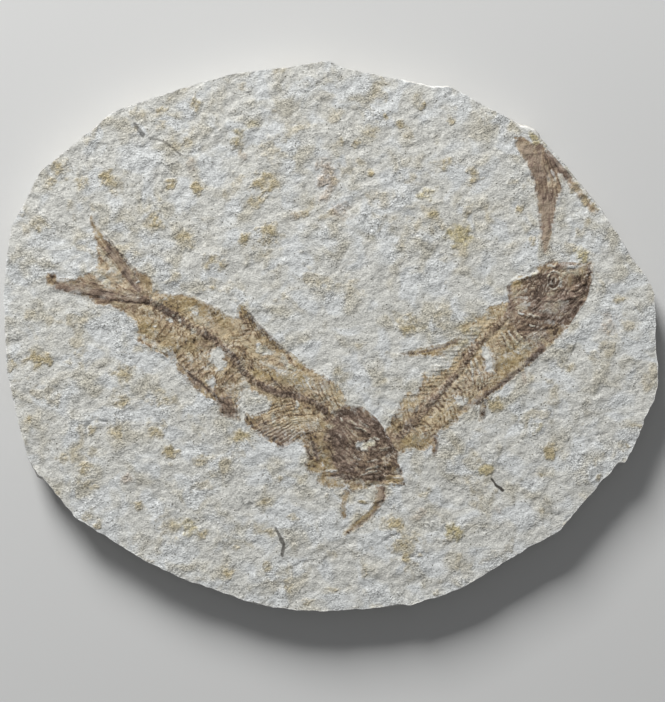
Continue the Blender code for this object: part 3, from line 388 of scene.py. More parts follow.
RIGHT_FISH = [
    # snout, jaw and belly
    (70.8, 21.0), (71.9, 20.0), (71.2, 15.6), (69.7, 10.2), (66.4, 5.4), (62.8, -0.4), (58.0, -4.7),
    (53.4, -8.9), (47.8, -13.5), (43.8, -15.9), (42.7, -20.0), (41.2, -23.6), (40.4, -22.8),
    (40.9, -18.8), (38.4, -20.2), (36.4, -20.8), (33.6, -24.4), (32.0, -25.5), (29.5, -26.4),
    (29.6, -29.0), (28.6, -33.0), (27.6, -31.8), (28.0, -29.4), (25.4, -31.4), (22.0, -31.0),
    (18.6, -32.4), (15.0, -30.0), (14.6, -26.0),
    # back, dorsal fin and the top of the head
    (16.4, -22.6), (18.8, -19.2), (18.9, -17.0), (21.0, -15.4), (24.2, -15.4), (24.8, -11.8),
    (25.2, -9.3), (28.4, -8.2), (32.0, -8.6), (30.0, -5.8), (24.0, -5.6), (18.9, -5.0),
    (22.0, -4.2), (26.0, -3.1), (31.6, -2.3), (35.4, -0.2), (36.0, 3.0), (39.6, 4.7), (43.8, 8.3),
    (48.5, 9.6), (48.4, 13.4), (49.9, 15.1), (54.2, 17.8), (57.6, 19.6), (61.6, 21.2), (62.6, 19.9),
    (66.8, 19.8), (69.0, 19.4),
]
RIGHT_GAPS = [
    [(41.4, -4.2), (42.3, -2.2), (43.4, -4.0), (44.5, -7.0), (44.3, -9.8), (42.8, -9.4), (42.2, -6.8)],
    [(34.4, -17.0), (36.2, -17.0), (37.2, -18.6), (36.0, -19.0), (34.6, -18.3)],
]
TAIL_LOBES = [
    [(3.6, -41.6), (2.4, -46.0), (3.2, -49.8), (4.3, -49.4), (3.9, -46.6), (4.6, -44.4), (5.6, -42.6)],
    [(11.4, -40.6), (12.4, -43.4), (12.2, -45.2), (10.2, -48.4), (7.4, -50.8), (3.6, -53.4),
     (4.0, -54.4), (8.2, -52.2), (11.4, -49.4), (13.6, -46.4), (15.2, -43.6), (15.6, -40.4)],
]
TAIL_UNDER_HEAD = [
    (16.6, -23.8), (10.6, -31.0), (6.2, -37.4), (3.6, -41.6), (5.6, -42.6), (9.4, -39.8),
    (12.2, -41.0), (12.6, -43.4), (15.0, -43.6), (15.6, -41.0), (17.4, -35.6), (20.6, -29.8),
]
RIGHT_SPINE = [
    (49.2, 6.6), (45.6, 2.6), (41.5, -1.2), (37.6, -5.8), (34.4, -10.4), (30.6, -14.8),
    (26.2, -19.4), (22.6, -24.2), (18.6, -27.6),
]
# White grains in the cheek
RIGHT_GRAINS = [(59.6, 8.6), (61.6, 7.0), (62.8, 8.4), (60.2, 6.8), (64.6, 9.6), (58.8, 7.2)]
RIGHT_MARKS = [
    (DARK, -0.55, 3.4, [(3.4, -41.6), (3.0, -48.4)]),
    (BARE, 0.25, 3.0, [(3.4, -41.6), (3.0, -48.4)]),
    (DARK, -0.42, 4.0, [(14.0, -43.0), (10.4, -48.6), (4.2, -54.4)]),
    (OCHRE, 0.30, 4.0, [(12.0, -47.0), (4.6, -54.0)]),
    (DARK, -0.60, 4.2, [(64.0, 18.4), (68.0, 18.2)]),
    (DARK, -0.34, 4.6, [(41.0, -3.4), (46.6, 1.0)]),
    (BARE, 0.42, 3.4, [(64.4, 19.0), (67.0, 17.6)]),
    (DARK, -0.42, 4.6, [(47.6, 4.0), (52.4, 7.4)]),
    (DARK, -0.50, 4.0, [(36.0, 2.0), (43.0, 4.4)]),
    (DARK, -0.16, 7.0, [(31.0, -13.0), (42.0, -10.0)]),
    (OCHRE, -0.24, 8.0, [(28.0, -17.0), (42.0, -9.0)]),
    (PURPLE, 0.18, 8.0, [(28.0, -17.0), (44.0, -10.0)]),
    # rear of the body
    (OCHRE, 0.90, 4.6, [(21.0, -29.0), (26.0, -29.4)]),
    (DARK, 0.40, 2.6, [(22.0, -30.0), (24.6, -30.2)]),
    (PURPLE, 0.60, 0.8, [(20.0, -25.0), (24.4, -19.0)]),
    (DARK, 0.55, 0.6, [(20.4, -25.4), (24.8, -19.4)]),
    (DARK, 0.50, 2.0, [(16.4, -24.6), (18.8, -20.6)]),
    (OCHRE, 0.40, 2.0, [(16.4, -24.6), (18.8, -20.6)]),
    (BARE, 0.30, 2.6, [(19.4, -17.6), (23.4, -16.6)]),
    (DARK, 0.35, 4.4, [(17.6, -27.6), (21.0, -25.0)]),
    # backbone
    (DARK, 0.90, 1.0, [(26.5, -19.0)]),
    (DARK, 0.90, 0.9, [(29.8, -16.0)]),
    (DARK, 0.90, 0.9, [(31.8, -13.5), (33.2, -12.3)]),
    (DARK, 0.90, 0.9, [(34.5, -10.7)]),
    (DARK, 0.90, 0.9, [(36.8, -7.5)]),
    (DARK, 0.90, 0.9, [(38.5, -5.0)]),
    (DARK, 0.80, 0.9, [(40.5, -2.0), (42.3, -1.0)]),
    (DARK, 0.80, 0.9, [(45.0, 1.5), (47.0, 3.0)]),
    # flank
    (WHITE, 0.70, 0.6, [(38.5, -7.0), (39.0, -13.0)]),
    (WHITE, 0.70, 0.6, [(39.5, -6.0), (41.5, -12.5)]),
    (OCHRE, 0.80, 1.4, [(41.3, -7.5)]),
    (WHITE, 0.60, 0.6, [(43.6, -6.3)]),
    (BARE, 0.90, 2.4, [(34.8, -17.8), (36.4, -17.8)]),
    (OCHRE, 0.70, 7.0, [(46.6, -7.0), (50.6, -4.0)]),
    (BARE, 0.50, 0.7, [(46.8, 1.0), (48.5, -2.5), (51.0, -4.5)]),
    (BARE, 0.50, 0.7, [(48.6, 1.4), (50.4, -1.4), (53.0, -3.2)]),
    (DARK, 0.85, 1.3, [(40.0, -18.4), (44.0, -15.2), (48.0, -12.6), (52.0, -9.1), (57.5, -4.6)]),
    (PURPLE, 0.70, 2.0, [(36.0, -20.0), (44.0, -15.0), (51.0, -9.8)]),
    (PURPLE, 0.90, 2.2, [(53.6, -7.4), (58.0, -3.6)]),
    (DARK, 0.60, 1.6, [(53.6, -7.4), (58.0, -3.6)]),
    (BARE, 0.30, 4.2, [(51.4, -3.6), (57.6, 0.4)]),
    (BARE, 0.75, 4.6, [(27.4, -10.0), (31.4, -6.8), (34.6, -3.0), (39.0, 1.6)]),
    # fins
    (DARK, 0.65, 0.6, [(42.6, -17.4), (41.9, -20.4), (41.3, -23.2)]),
    (OCHRE, 0.50, 1.6, [(42.2, -17.4), (41.0, -22.8)]),
    (PURPLE, 0.60, 1.4, [(28.6, -27.4), (29.2, -30.0), (28.4, -32.6)]),
    (DARK, 0.40, 1.0, [(28.6, -27.4), (29.2, -30.0), (28.4, -32.6)]),
    (OCHRE, 0.90, 2.6, [(22.0, -4.8), (28.0, -4.0), (34.0, -1.6)]),
    (DARK, 0.60, 0.7, [(19.0, -4.8), (24.0, -4.6), (30.0, -3.4), (35.5, -0.8)]),
    (DARK, 0.45, 0.5, [(21.0, -4.4), (27.0, -3.2), (32.4, -2.0)]),
    (DARK, 0.45, 0.5, [(20.0, -5.2), (27.0, -5.0), (32.0, -3.4)]),
    (DARK, 0.35, 0.5, [(24.0, -5.5), (30.0, -5.4), (34.0, -3.8)]),
    (BARE, 0.40, 0.5, [(24.0, -4.0), (30.0, -2.9)]),
    (PURPLE, 0.70, 1.0, [(24.0, -4.6), (30.0, -3.2), (35.5, -0.8)]),
    # head
    (DARK, 0.40, 4.6, [(54.6, 13.6), (58.6, 14.6)]),
    (DARK, 0.70, 0.6, [(51.0, 14.8), (54.0, 15.8), (58.0, 16.6), (60.6, 17.2)]),
    (DARK, 0.60, 0.6, [(55.0, 12.1), (58.6, 12.1), (62.6, 12.5), (67.0, 12.2)]),
    (DARK, 0.65, 1.5, [(56.4, 11.4), (57.4, 11.2)]),
    (PURPLE, 0.80, 6.4, [(57.4, 8.0), (64.4, 8.8)]),
    (BARE, 0.40, 4.6, [(59.4, 7.6), (63.0, 8.2)]),
    *[(WHITE, 0.55, 0.5, [spot]) for spot in RIGHT_GRAINS],
    (BARE, 0.50, 1.2, [(59.4, 11.2), (60.8, 11.8)]),
    (BARE, 0.60, 1.0, [(62.9, 13.6), (63.2, 15.6), (63.6, 17.0)]),
    (WHITE, 0.50, 0.5, [(63.6, 17.3), (66.6, 17.5)]),
    (OCHRE, 1.00, 1.8, [(65.0, 14.2), (65.4, 15.8)]),
    (DARK, 0.35, 4.0, [(67.6, 12.6), (69.0, 17.0)]),
    (DARK, 0.60, 0.9, [(71.2, 20.4), (70.4, 17.0), (69.2, 12.4), (68.8, 10.4)]),
    (PURPLE, 0.50, 3.4, [(67.6, 11.2), (69.0, 13.0)]),
    (OCHRE, 0.50, 2.4, [(68.0, 15.6), (69.0, 17.8)]),
    (BARE, 0.45, 1.0, [(67.4, 18.9), (69.0, 19.2)]),
    (PURPLE, 0.70, 1.4, [(61.0, 18.8), (64.4, 19.2)]),
    (DARK, 0.45, 1.1, [(61.0, 18.6), (64.6, 19.4), (66.4, 19.4)]),
    (WHITE, 0.80, 1.1, [(64.9, 18.7), (66.3, 18.8)]),
    # painted highlight: two pale strips along the lit top edge of the raised head
    (WHITE, 1.00, 1.0, [(51.6, 15.6), (53.6, 16.4)]),
    (WHITE, 1.00, 1.7, [(54.0, 16.7), (56.0, 17.6)]),
    (OCHRE, 1.00, 1.8, [(57.4, 17.8), (59.6, 18.8)]),
    (BARE, 0.60, 0.9, [(59.6, 19.2), (61.0, 19.2)]),
    (DARK, 0.60, 0.5, [(57.0, 18.5), (59.4, 19.9), (61.6, 21.1)]),
    (OCHRE, 0.90, 1.8, [(50.2, 14.4), (51.6, 14.6)]),
    (BARE, 0.45, 1.0, [(52.0, 11.8), (53.6, 12.8)]),
    (BARE, 0.45, 1.0, [(50.4, 10.6), (53.6, 10.4)]),
    (BARE, 0.75, 2.2, [(51.8, 7.8), (53.4, 8.6)]),
    (OCHRE, 0.60, 2.6, [(51.8, 7.8), (53.4, 8.6)]),
    (WHITE, 0.85, 0.8, [(51.3, 6.5), (52.6, 5.9)]),
    (DARK, 0.95, 0.4, [(50.7, 7.0), (51.2, 6.0), (52.6, 5.3)]),
    (DARK, 0.95, 0.4, [(51.6, 6.9), (53.4, 6.0), (55.2, 5.1)]),
    (WHITE, 0.60, 0.6, [(54.4, 5.9), (57.0, 5.1)]),
    (WHITE, 0.85, 0.6, [(54.5, 2.9), (55.6, 2.6)]),
    (DARK, 0.90, 0.4, [(54.0, 2.9), (54.9, 2.3), (55.8, 2.2)]),
    (DARK, 0.60, 1.2, [(56.4, 4.2), (57.0, 3.0)]),
    (DARK, 0.80, 0.5, [(51.0, 1.6), (57.5, 1.7), (61.0, 2.3), (63.6, 3.4)]),
    (PURPLE, 0.90, 1.8, [(57.6, 5.2), (63.0, 4.0), (66.4, 6.6), (68.4, 9.4)]),
    (DARK, 0.40, 1.2, [(57.6, 5.0), (63.0, 3.8), (66.4, 6.4), (68.4, 9.2)]),
    (BARE, 0.40, 1.4, [(58.6, 3.9), (61.0, 3.6)]),
    (OCHRE, 0.70, 3.0, [(60.6, 1.0), (62.2, 1.6)]),
    (PURPLE, 0.80, 1.8, [(49.2, 7.4), (49.0, 13.0)]),
    (DARK, 0.55, 0.8, [(49.4, 7.4), (48.8, 9.6), (48.9, 13.2)]),
    (DARK, 0.50, 0.5, [(48.0, 14.2), (49.4, 13.4)]),
    # lobes of the tail below the large fish's head
    (PURPLE, 0.90, 3.6, [(13.2, -41.0), (13.8, -44.4)]),
    (DARK, 0.40, 2.8, [(13.2, -41.0), (13.8, -44.4)]),
    (BARE, 0.70, 1.0, [(12.0, -41.6), (12.6, -42.6)]),
    (DARK, 0.70, 0.7, [(14.8, -41.4), (14.6, -44.2)]),
    (OCHRE, 1.00, 2.2, [(13.4, -44.8), (12.0, -47.2), (10.2, -49.2), (6.8, -51.8)]),
    (DARK, 0.60, 0.9, [(14.2, -44.6), (12.9, -47.2), (10.9, -49.4), (8.0, -51.6), (4.4, -53.8)]),
    (DARK, 0.30, 1.2, [(13.0, -45.6), (10.6, -48.6), (7.4, -51.0)]),
    (PURPLE, 0.60, 1.0, [(14.2, -44.6), (10.9, -49.4), (6.0, -53.0)]),
    (OCHRE, 0.70, 1.4, [(4.2, -44.4), (3.6, -46.5), (3.6, -49.6)]),
    (DARK, 0.65, 0.8, [(4.0, -44.0), (2.9, -46.5), (3.1, -49.2)]),
]
RIGHT_PLATES = [
    [(50.4, 14.6), (54.0, 16.2), (57.4, 17.6)],
    [(61.4, 19.0), (66.0, 18.8)],
    [(66.4, 12.6), (69.4, 14.6), (70.4, 17.2)],
    [(57.0, 10.0), (61.6, 9.6), (66.6, 10.6)],
    [(51.2, 6.6), (53.6, 5.6), (57.4, 4.9)],
]
RIGHT_EYE = (61.0, 15.2)
RIGHT_FANS = [
    # ribs
    ([(51.0, 1.4), (46.4, 0.6)], [(54.4, -2.8), (48.2, -4.6)], 4, 0.5, 0.50),
    ([(50.2, 1.2), (47.2, 0.8)], [(53.4, -3.2), (49.2, -4.4)], 3, 0.5, -0.45),
    ([(43.6, -1.6), (37.4, -8.6)], [(45.4, -10.6), (39.6, -15.6)], 8, 0.8, 0.42),
    ([(43.0, -2.2), (37.8, -8.2)], [(44.8, -11.0), (40.2, -15.2)], 7, 0.8, -0.42),
    ([(36.6, -9.4), (27.6, -20.0)], [(39.0, -16.2), (30.8, -24.8)], 11, 0.7, 0.42),
    ([(36.1, -9.9), (28.0, -19.5)], [(38.5, -16.6), (31.2, -24.4)], 10, 0.7, -0.36),
    ([(26.0, -22.0), (20.0, -27.4)], [(29.4, -26.0), (23.6, -31.0)], 8, 0.4, 0.36),
    # spines above the backbone
    ([(46.0, 4.6), (27.4, -15.6)], [(40.4, 4.8), (20.4, -16.0)], 20, 0.0, 0.24),
    # fins
    ([(42.9, -17.0), (41.2, -17.8)], [(41.6, -23.0), (40.7, -22.4)], 4, 0.0, 0.45),
    ([(29.2, -27.0), (28.0, -28.0)], [(28.8, -32.4), (27.9, -31.8)], 3, 0.0, 0.40),
    ([(12.8, -44.8), (14.2, -44.8)], [(4.2, -54.2), (5.4, -53.0)], 3, -1.6, 0.40),
]

THIRD_TAIL = [
    (50.0, 54.3), (51.8, 54.8), (54.0, 54.2), (55.2, 52.8), (57.0, 52.4), (58.6, 52.4),
    (59.8, 51.2), (61.6, 49.0), (63.4, 46.6), (65.0, 44.4), (66.4, 42.2), (68.4, 39.8),
    (70.8, 37.0), (73.2, 34.0), (72.0, 33.2), (69.4, 35.8), (67.0, 38.6), (65.3, 41.1),
    (64.3, 43.1), (63.8, 41.8), (63.0, 39.0), (62.2, 35.6), (61.4, 31.6), (60.8, 28.0),
    (59.8, 24.2), (58.6, 22.6), (57.9, 24.0), (57.6, 27.0), (57.2, 31.0), (56.7, 34.8),
    (56.1, 38.6), (55.8, 42.2), (54.2, 45.0), (53.0, 48.2), (51.0, 50.8),
]
THIRD_MARKS = [
    (DARK, -0.52, 5.0, [(56.0, 48.4), (59.4, 36.0)]),
    (DARK, -0.60, 2.8, [(59.4, 26.0), (59.2, 19.0)]),
    (BARE, 0.25, 2.6, [(59.4, 25.0), (59.2, 19.0)]),
    (BARE, 0.30, 3.0, [(67.0, 40.0), (72.4, 34.0)]),
    (DARK, 0.55, 4.6, [(58.4, 41.4), (59.4, 38.8)]),
    (PURPLE, 0.40, 4.0, [(52.0, 52.6), (54.6, 48.4)]),
    (DARK, -0.25, 3.6, [(52.6, 51.6), (54.4, 48.0)]),
    (PURPLE, 1.00, 1.7, [(57.2, 52.0), (56.6, 47.4), (57.2, 44.2)]),
    (DARK, 0.50, 1.3, [(57.2, 52.0), (56.6, 47.4), (57.2, 44.2)]),
    (PURPLE, 0.70, 2.0, [(54.8, 46.0), (56.4, 44.6)]),
    (DARK, 0.45, 1.8, [(50.8, 54.0), (53.4, 53.8)]),
    (DARK, 0.80, 0.8, [(54.6, 43.2), (55.8, 43.0)]),
    (DARK, 0.80, 0.8, [(57.2, 43.3), (58.4, 43.5)]),
    (PURPLE, 0.60, 5.0, [(59.6, 37.0), (58.8, 30.0)]),
    (DARK, -0.30, 3.4, [(59.2, 33.0), (58.8, 25.0)]),
    (DARK, 0.12, 2.4, [(60.4, 50.2), (63.0, 47.0), (64.8, 44.6)]),
    (PURPLE, 0.90, 3.4, [(60.0, 50.0), (63.0, 46.6), (65.2, 43.6)]),
    (DARK, 0.35, 1.4, [(64.0, 46.0), (66.0, 43.0), (68.0, 40.4)]),
    (OCHRE, 0.60, 1.6, [(65.0, 43.6), (68.0, 39.8), (72.6, 34.4)]),
    (BARE, 0.75, 1.5, [(62.8, 44.0), (63.4, 41.6)]),
    (BARE, 0.55, 1.0, [(60.4, 45.4), (61.8, 42.0)]),
    (BARE, 0.60, 2.2, [(62.6, 38.6), (62.0, 33.0), (61.0, 27.6)]),
    (PURPLE, 0.60, 3.4, [(58.8, 30.0), (58.6, 23.6)]),
    (OCHRE, -0.60, 3.4, [(58.8, 30.0), (58.6, 23.6)]),
    (DARK, 0.90, 0.7, [(55.2, 49.6)]),
    (DARK, 0.80, 0.6, [(55.8, 47.4)]),
    (DARK, 0.80, 0.6, [(58.6, 45.8)]),
]
THIRD_RAYS = [
    [(58.6, 49.6), (59.6, 46.0), (61.2, 42.4), (62.0, 38.4)],
    [(59.2, 49.4), (60.8, 46.0), (62.6, 42.2), (63.4, 39.4)],
    [(58.0, 49.4), (58.6, 45.6), (60.0, 42.0), (60.8, 38.0)],
    [(59.8, 49.2), (62.2, 45.8), (64.2, 42.8)],
]
THIRD_FANS = [
    ([(53.6, 49.6), (58.4, 50.2)], [(57.8, 27.0), (61.0, 31.0)], 9, 0.0, 0.28),
    ([(56.6, 42.0), (61.2, 39.0)], [(58.0, 26.0), (60.6, 27.0)], 6, 0.0, -0.25),
]

# Each fossil's own values. Floor is the height of its underside, and cut is true where the slab's edge
# cuts it off. Root is where the tail's rays start, and root_turn their direction. Cover, shade, ochre
# and purple are the film's mean amounts, and mottle and grit say how uneven it is. Lines, slant, bone,
# dashes and pitch shape the streaks of the body and the joints of the backbone. Head, domes and pits
# are ovals: middle, half length, half width, turn. Turns and fibres are in degrees.
FOSSILS = {
    "left": {
        "material": "brown fossil bone", "fibres": 122.0,
        "films": [LEFT_FISH], "gaps": LEFT_GAPS, "floor": FILM_FLOOR, "cut": False,
        "spine": LEFT_SPINE, "marks": LEFT_MARKS, "fans": LEFT_FANS, "plates": LEFT_PLATES,
        "root": (-50.4, 9.6), "root_turn": 145.0, "eye": (9.7, -29.7),
        "cover": 0.86, "mottle": 0.46, "grit": 1.0, "shade": 0.26, "ochre": 0.26, "purple": 0.16,
        "lines": 0.50, "slant": 0.85, "bone": 0.32, "dashes": 0.40, "pitch": 1.15,
        "head": (9.0, -30.0, 13.0, 10.0, -35.0),
        "domes": [(5.6, -29.6, 12.0, 8.6, -35.0), (10.4, -36.4, 9.4, 4.4, 8.0)],
        "pits": [(9.7, -29.7, 2.6, 1.3, 8.0)],
    },
    "right": {
        "material": "tan fossil bone", "fibres": 112.0,
        "films": [RIGHT_FISH, *TAIL_LOBES], "gaps": RIGHT_GAPS, "floor": TAIL_SHEET_FLOOR,
        "cut": False,
        "spine": RIGHT_SPINE, "marks": RIGHT_MARKS, "fans": RIGHT_FANS, "plates": RIGHT_PLATES,
        "root": (19.0, -27.6), "root_turn": 225.0, "eye": RIGHT_EYE,
        "cover": 0.80, "mottle": 0.46, "grit": 1.0, "shade": 0.22, "ochre": 0.26, "purple": 0.14,
        "lines": 0.50, "slant": -0.8, "bone": 0.16, "dashes": 0.42, "pitch": 1.0,
        "head": (60.2, 9.6, 14.6, 9.6, 42.0),
        "domes": [(60.4, 11.0, 12.0, 7.4, 42.0)],
        "rings": [(*RIGHT_EYE, 1.08), (*RIGHT_EYE, 0.45)],
    },
    "third": {
        "material": "pale brown fossil bone", "fibres": 97.0,
        "films": [THIRD_TAIL], "gaps": [], "floor": FILM_FLOOR, "cut": True,
        "marks": THIRD_MARKS, "fans": THIRD_FANS, "rays": THIRD_RAYS,
        "root": (57.6, 54.0), "root_turn": -80.0,
        "cover": 0.96, "mottle": 0.24, "grit": 0.8, "shade": 0.26, "ochre": 0.10, "purple": 0.40,
    },
}

# Stains in the stone: x, y, half width, half height, strength
OCHRE_STAINS = [
    (66.8, 40.8, 1.5, 2.0, 0.75), (69.4, 37.6, 1.7, 2.2, 0.75), (72.0, 34.6, 1.8, 2.2, 0.6),
    (-74.5, 46.5, 3.0, 3.0, 0.6), (-77.0, 42.5, 2.5, 2.5, 0.5), (-68.0, 42.0, 2.5, 2.5, 0.6),
    (-61.5, 43.5, 2.5, 2.5, 0.9), (-59.2, 39.8, 1.2, 3.0, 0.6), (-46.0, 62.0, 2.0, 2.0, 0.5),
    (-46.8, 58.0, 2.0, 2.0, 0.5), (-37.0, 63.0, 2.5, 2.5, 0.6), (-44.0, 42.0, 1.8, 1.8, 0.9),
    (-36.5, 40.5, 1.9, 1.9, 1.0), (-79.5, 29.8, 1.7, 1.7, 0.7), (-84.5, 33.0, 1.0, 1.0, 0.6),
    (-47.5, 31.5, 2.2, 2.2, 0.9), (-39.5, 27.0, 3.2, 3.2, 0.6), (-32.0, 20.0, 3.2, 3.2, 0.6),
    (-32.0, 14.0, 2.6, 2.6, 0.5), (-39.5, 53.0, 1.6, 1.6, 0.7), (-18.5, 42.2, 4.0, 3.4, 0.85),
    (-20.0, 37.0, 2.6, 2.2, 0.8), (-25.0, 53.0, 2.4, 3.0, 0.5), (-17.0, 28.0, 3.4, 3.0, 0.8),
    (-23.6, 26.8, 2.4, 1.8, 0.8), (2.5, 52.7, 1.6, 1.6, 0.6), (7.0, 53.0, 1.6, 1.6, 0.6),
    (11.0, 57.0, 3.0, 3.0, 0.4), (15.0, 60.0, 1.1, 1.1, 0.7), (19.0, 58.0, 1.1, 1.1, 0.7),
    (11.0, 44.5, 1.3, 1.3, 0.7), (31.0, 47.0, 4.2, 2.6, 0.6), (33.0, 59.0, 1.6, 1.6, 0.6),
    (25.0, 63.0, 1.6, 1.6, 0.6), (39.0, 43.0, 2.6, 3.0, 0.6), (37.5, 34.5, 2.1, 2.1, 0.6),
    (52.0, 34.5, 1.6, 1.6, 0.6), (55.0, 26.0, 1.6, 1.6, 0.6), (22.0, 2.5, 4.0, 3.0, 0.7),
    (38.0, 2.5, 4.0, 3.0, 0.6), (-80.0, -6.5, 4.0, 2.3, 0.9), (-87.5, -8.0, 1.7, 2.8, 0.7),
    (-69.5, -6.5, 4.0, 2.4, 0.35), (-56.5, -10.0, 4.0, 2.6, 0.6), (-57.0, -18.5, 3.0, 1.6, 0.6),
    (-46.5, -17.5, 4.0, 2.6, 0.6), (-83.0, -23.0, 1.6, 1.6, 0.6), (-65.5, -25.5, 2.0, 3.5, 0.6),
    (-58.5, -26.5, 3.0, 3.0, 0.5), (-48.0, -26.0, 3.0, 3.5, 0.6), (-44.0, -31.5, 2.6, 1.8, 0.9),
    (-35.5, -34.5, 2.3, 2.3, 0.6), (-73.0, -33.5, 2.0, 1.6, 0.6), (-67.5, -36.5, 2.6, 2.0, 0.6),
    (-66.0, -40.5, 3.5, 1.6, 0.6), (-52.0, -46.5, 1.6, 1.6, 0.6), (-67.0, -49.5, 1.6, 1.6, 0.6),
    (-63.5, -51.5, 2.0, 1.6, 0.6), (-35.0, -54.0, 2.0, 1.6, 0.6), (-25.0, -27.5, 2.6, 2.0, 0.9),
    (-17.5, -45.5, 2.0, 2.5, 0.6), (-17.0, -53.5, 3.0, 1.6, 0.5), (-10.0, -49.0, 2.5, 1.6, 0.5),
    (-13.5, -39.0, 1.6, 1.6, 0.6), (17.5, -51.5, 2.2, 2.0, 1.0), (20.0, -57.0, 5.0, 4.0, 0.6),
    (20.5, -60.0, 1.6, 1.6, 0.7), (9.2, -45.4, 1.9, 0.6, 0.8), (-26.0, -58.0, 1.1, 1.1, 0.7),
    (-28.0, -65.0, 2.0, 2.5, 0.6), (-11.5, -69.0, 1.6, 1.6, 0.6), (-5.5, -72.5, 2.5, 1.8, 0.6),
    (1.0, -69.3, 2.0, 1.1, 0.6), (9.5, -64.0, 1.6, 2.0, 0.6), (-17.5, -63.0, 1.6, 1.6, 0.5),
    (28.5, -70.5, 1.1, 1.1, 0.6), (26.0, -43.0, 2.0, 1.6, 0.6), (60.0, -31.6, 2.4, 2.8, 1.0),
    (45.4, -19.0, 1.9, 2.6, 0.85), (57.5, -38.0, 2.0, 1.1, 0.5), (73.0, -38.0, 1.2, 1.6, 0.5),
    (79.0, 10.5, 3.0, 1.6, 0.5), (65.0, -8.0, 3.0, 2.0, 0.5), (80.0, -30.0, 1.6, 1.6, 0.6),
    (-8.5, 33.0, 3.0, 1.4, 0.5), (-38.0, 27.0, 2.4, 2.0, 0.6),
]
YELLOW_STAINS = [
    (26.5, 39.0, 3.0, 2.0, 0.7), (28.0, 33.0, 1.6, 1.6, 0.7), (35.0, 27.5, 4.0, 3.5, 1.0),
    (69.0, 22.0, 2.8, 2.4, 0.9), (-39.0, -52.0, 4.0, 3.6, 0.6), (33.5, -53.5, 2.8, 2.6, 0.9),
    (56.0, -25.0, 2.0, 2.5, 0.6), (42.5, -36.6, 2.8, 2.2, 0.9), (-26.0, 55.0, 2.0, 2.0, 0.4),
    (56.6, 53.9, 2.6, 2.2, 1.0), (-22.0, 57.6, 3.0, 1.6, 0.4),
]
PINK_STAINS = [
    (-1.0, 43.0, 3.0, 6.0, 0.7), (2.5, 34.0, 3.0, 3.0, 0.6), (-55.0, -38.5, 3.0, 2.5, 0.5),
    (76.0, 3.0, 3.0, 4.0, 0.5), (24.0, -49.0, 2.4, 2.0, 0.4), (-38.5, 47.0, 2.0, 2.4, 0.5),
    (-24.0, 49.0, 2.0, 1.8, 0.4), (46.0, -49.0, 2.2, 2.6, 0.3), (-9.6, 33.2, 2.4, 1.4, 0.4),
    (53.1, -11.0, 0.8, 2.2, 0.9), (41.8, -21.4, 1.0, 2.4, 0.5),
]
# Wisps of carbonised plant: start, end and width in millimetres, darkness
WISPS = [
    ((-53.5, 57.8), (-51.3, 55.0), 1.3, 0.65),
    ((-49.5, 54.2), (-46.0, 53.3), 0.6, 0.45),
    ((-46.0, 53.3), (-43.0, 51.5), 0.7, 0.55),
    ((-43.0, 51.5), (-41.0, 49.5), 0.6, 0.50),
    ((-15.0, -52.5), (-13.5, -55.5), 0.9, 0.70),
    ((-13.5, -55.5), (-12.8, -57.0), 1.2, 0.80),
    ((-12.8, -57.0), (-13.2, -60.0), 1.0, 0.75),
    ((44.0, -39.0), (45.3, -40.9), 0.7, 0.90),
    ((45.3, -40.9), (47.0, -42.1), 1.0, 0.95),
    ((55.0, -20.0), (59.0, -19.9), 0.4, 0.35),
]


class FOSSIL_PG_slab(bpy.types.PropertyGroup):
    """Sizes and colours of the limestone"""

    cell: bpy.props.FloatProperty(
        name="Face cell", description="Spacing of the face's mesh", default=0.00053, unit="LENGTH"
    )
    relief: bpy.props.FloatProperty(
        name="Relief", description="Share of the split face's full relief", default=1.0, min=0.0
    )
    rim_cell: bpy.props.FloatProperty(
        name="Rim cell", description="Spacing of the rim's mesh", default=0.0007, unit="LENGTH"
    )
    pale: bpy.props.FloatVectorProperty(
        name="Pale stone", description="Main colour of the limestone", subtype="COLOR",
        default=(0.612, 0.607, 0.566),
    )
    blue: bpy.props.FloatVectorProperty(
        name="Bluish stone", description="Colour of the smooth bright patches", subtype="COLOR",
        default=(0.645, 0.660, 0.654),
    )
    warm: bpy.props.FloatVectorProperty(
        name="Warm stone", description="Colour of the coarser beige patches", subtype="COLOR",
        default=(0.530, 0.500, 0.415),
    )
    ochre: bpy.props.FloatVectorProperty(
        name="Ochre stain", description="Colour of the tan stains", subtype="COLOR",
        default=(0.470, 0.398, 0.250),
    )
    yellow: bpy.props.FloatVectorProperty(
        name="Yellow stain", description="Colour of the yellow stains", subtype="COLOR",
        default=(0.480, 0.420, 0.255),
    )
    pink: bpy.props.FloatVectorProperty(
        name="Pink stain", description="Colour of the pinkish stains", subtype="COLOR",
        default=(0.500, 0.425, 0.345),
    )


class FOSSIL_PG_fossils(bpy.types.PropertyGroup):
    """Sizes and colours of the fossils"""

    cell: bpy.props.FloatProperty(
        name="Fossil cell", description="Spacing of a fossil's mesh", default=0.00019, unit="LENGTH"
    )
    lift: bpy.props.FloatProperty(
        name="Film height", description="How far the film stands on the stone", default=0.00004,
        unit="LENGTH",
    )
    tan: bpy.props.FloatVectorProperty(
        name="Thin film", description="Colour of the thinnest film", subtype="COLOR",
        default=(0.600, 0.494, 0.330),
    )
    brown: bpy.props.FloatVectorProperty(
        name="Bone", description="Colour of the bones", subtype="COLOR",
        default=(0.284, 0.200, 0.122),
    )
    dark: bpy.props.FloatVectorProperty(
        name="Dark bone", description="Colour of the darkest bones", subtype="COLOR",
        default=(0.070, 0.047, 0.034),
    )
    ochre: bpy.props.FloatVectorProperty(
        name="Ochre film", description="Colour of the ochre parts", subtype="COLOR",
        default=(0.350, 0.262, 0.120),
    )
    purple: bpy.props.FloatVectorProperty(
        name="Purplish film", description="Colour of the purplish parts", subtype="COLOR",
        default=(0.205, 0.150, 0.132),
    )


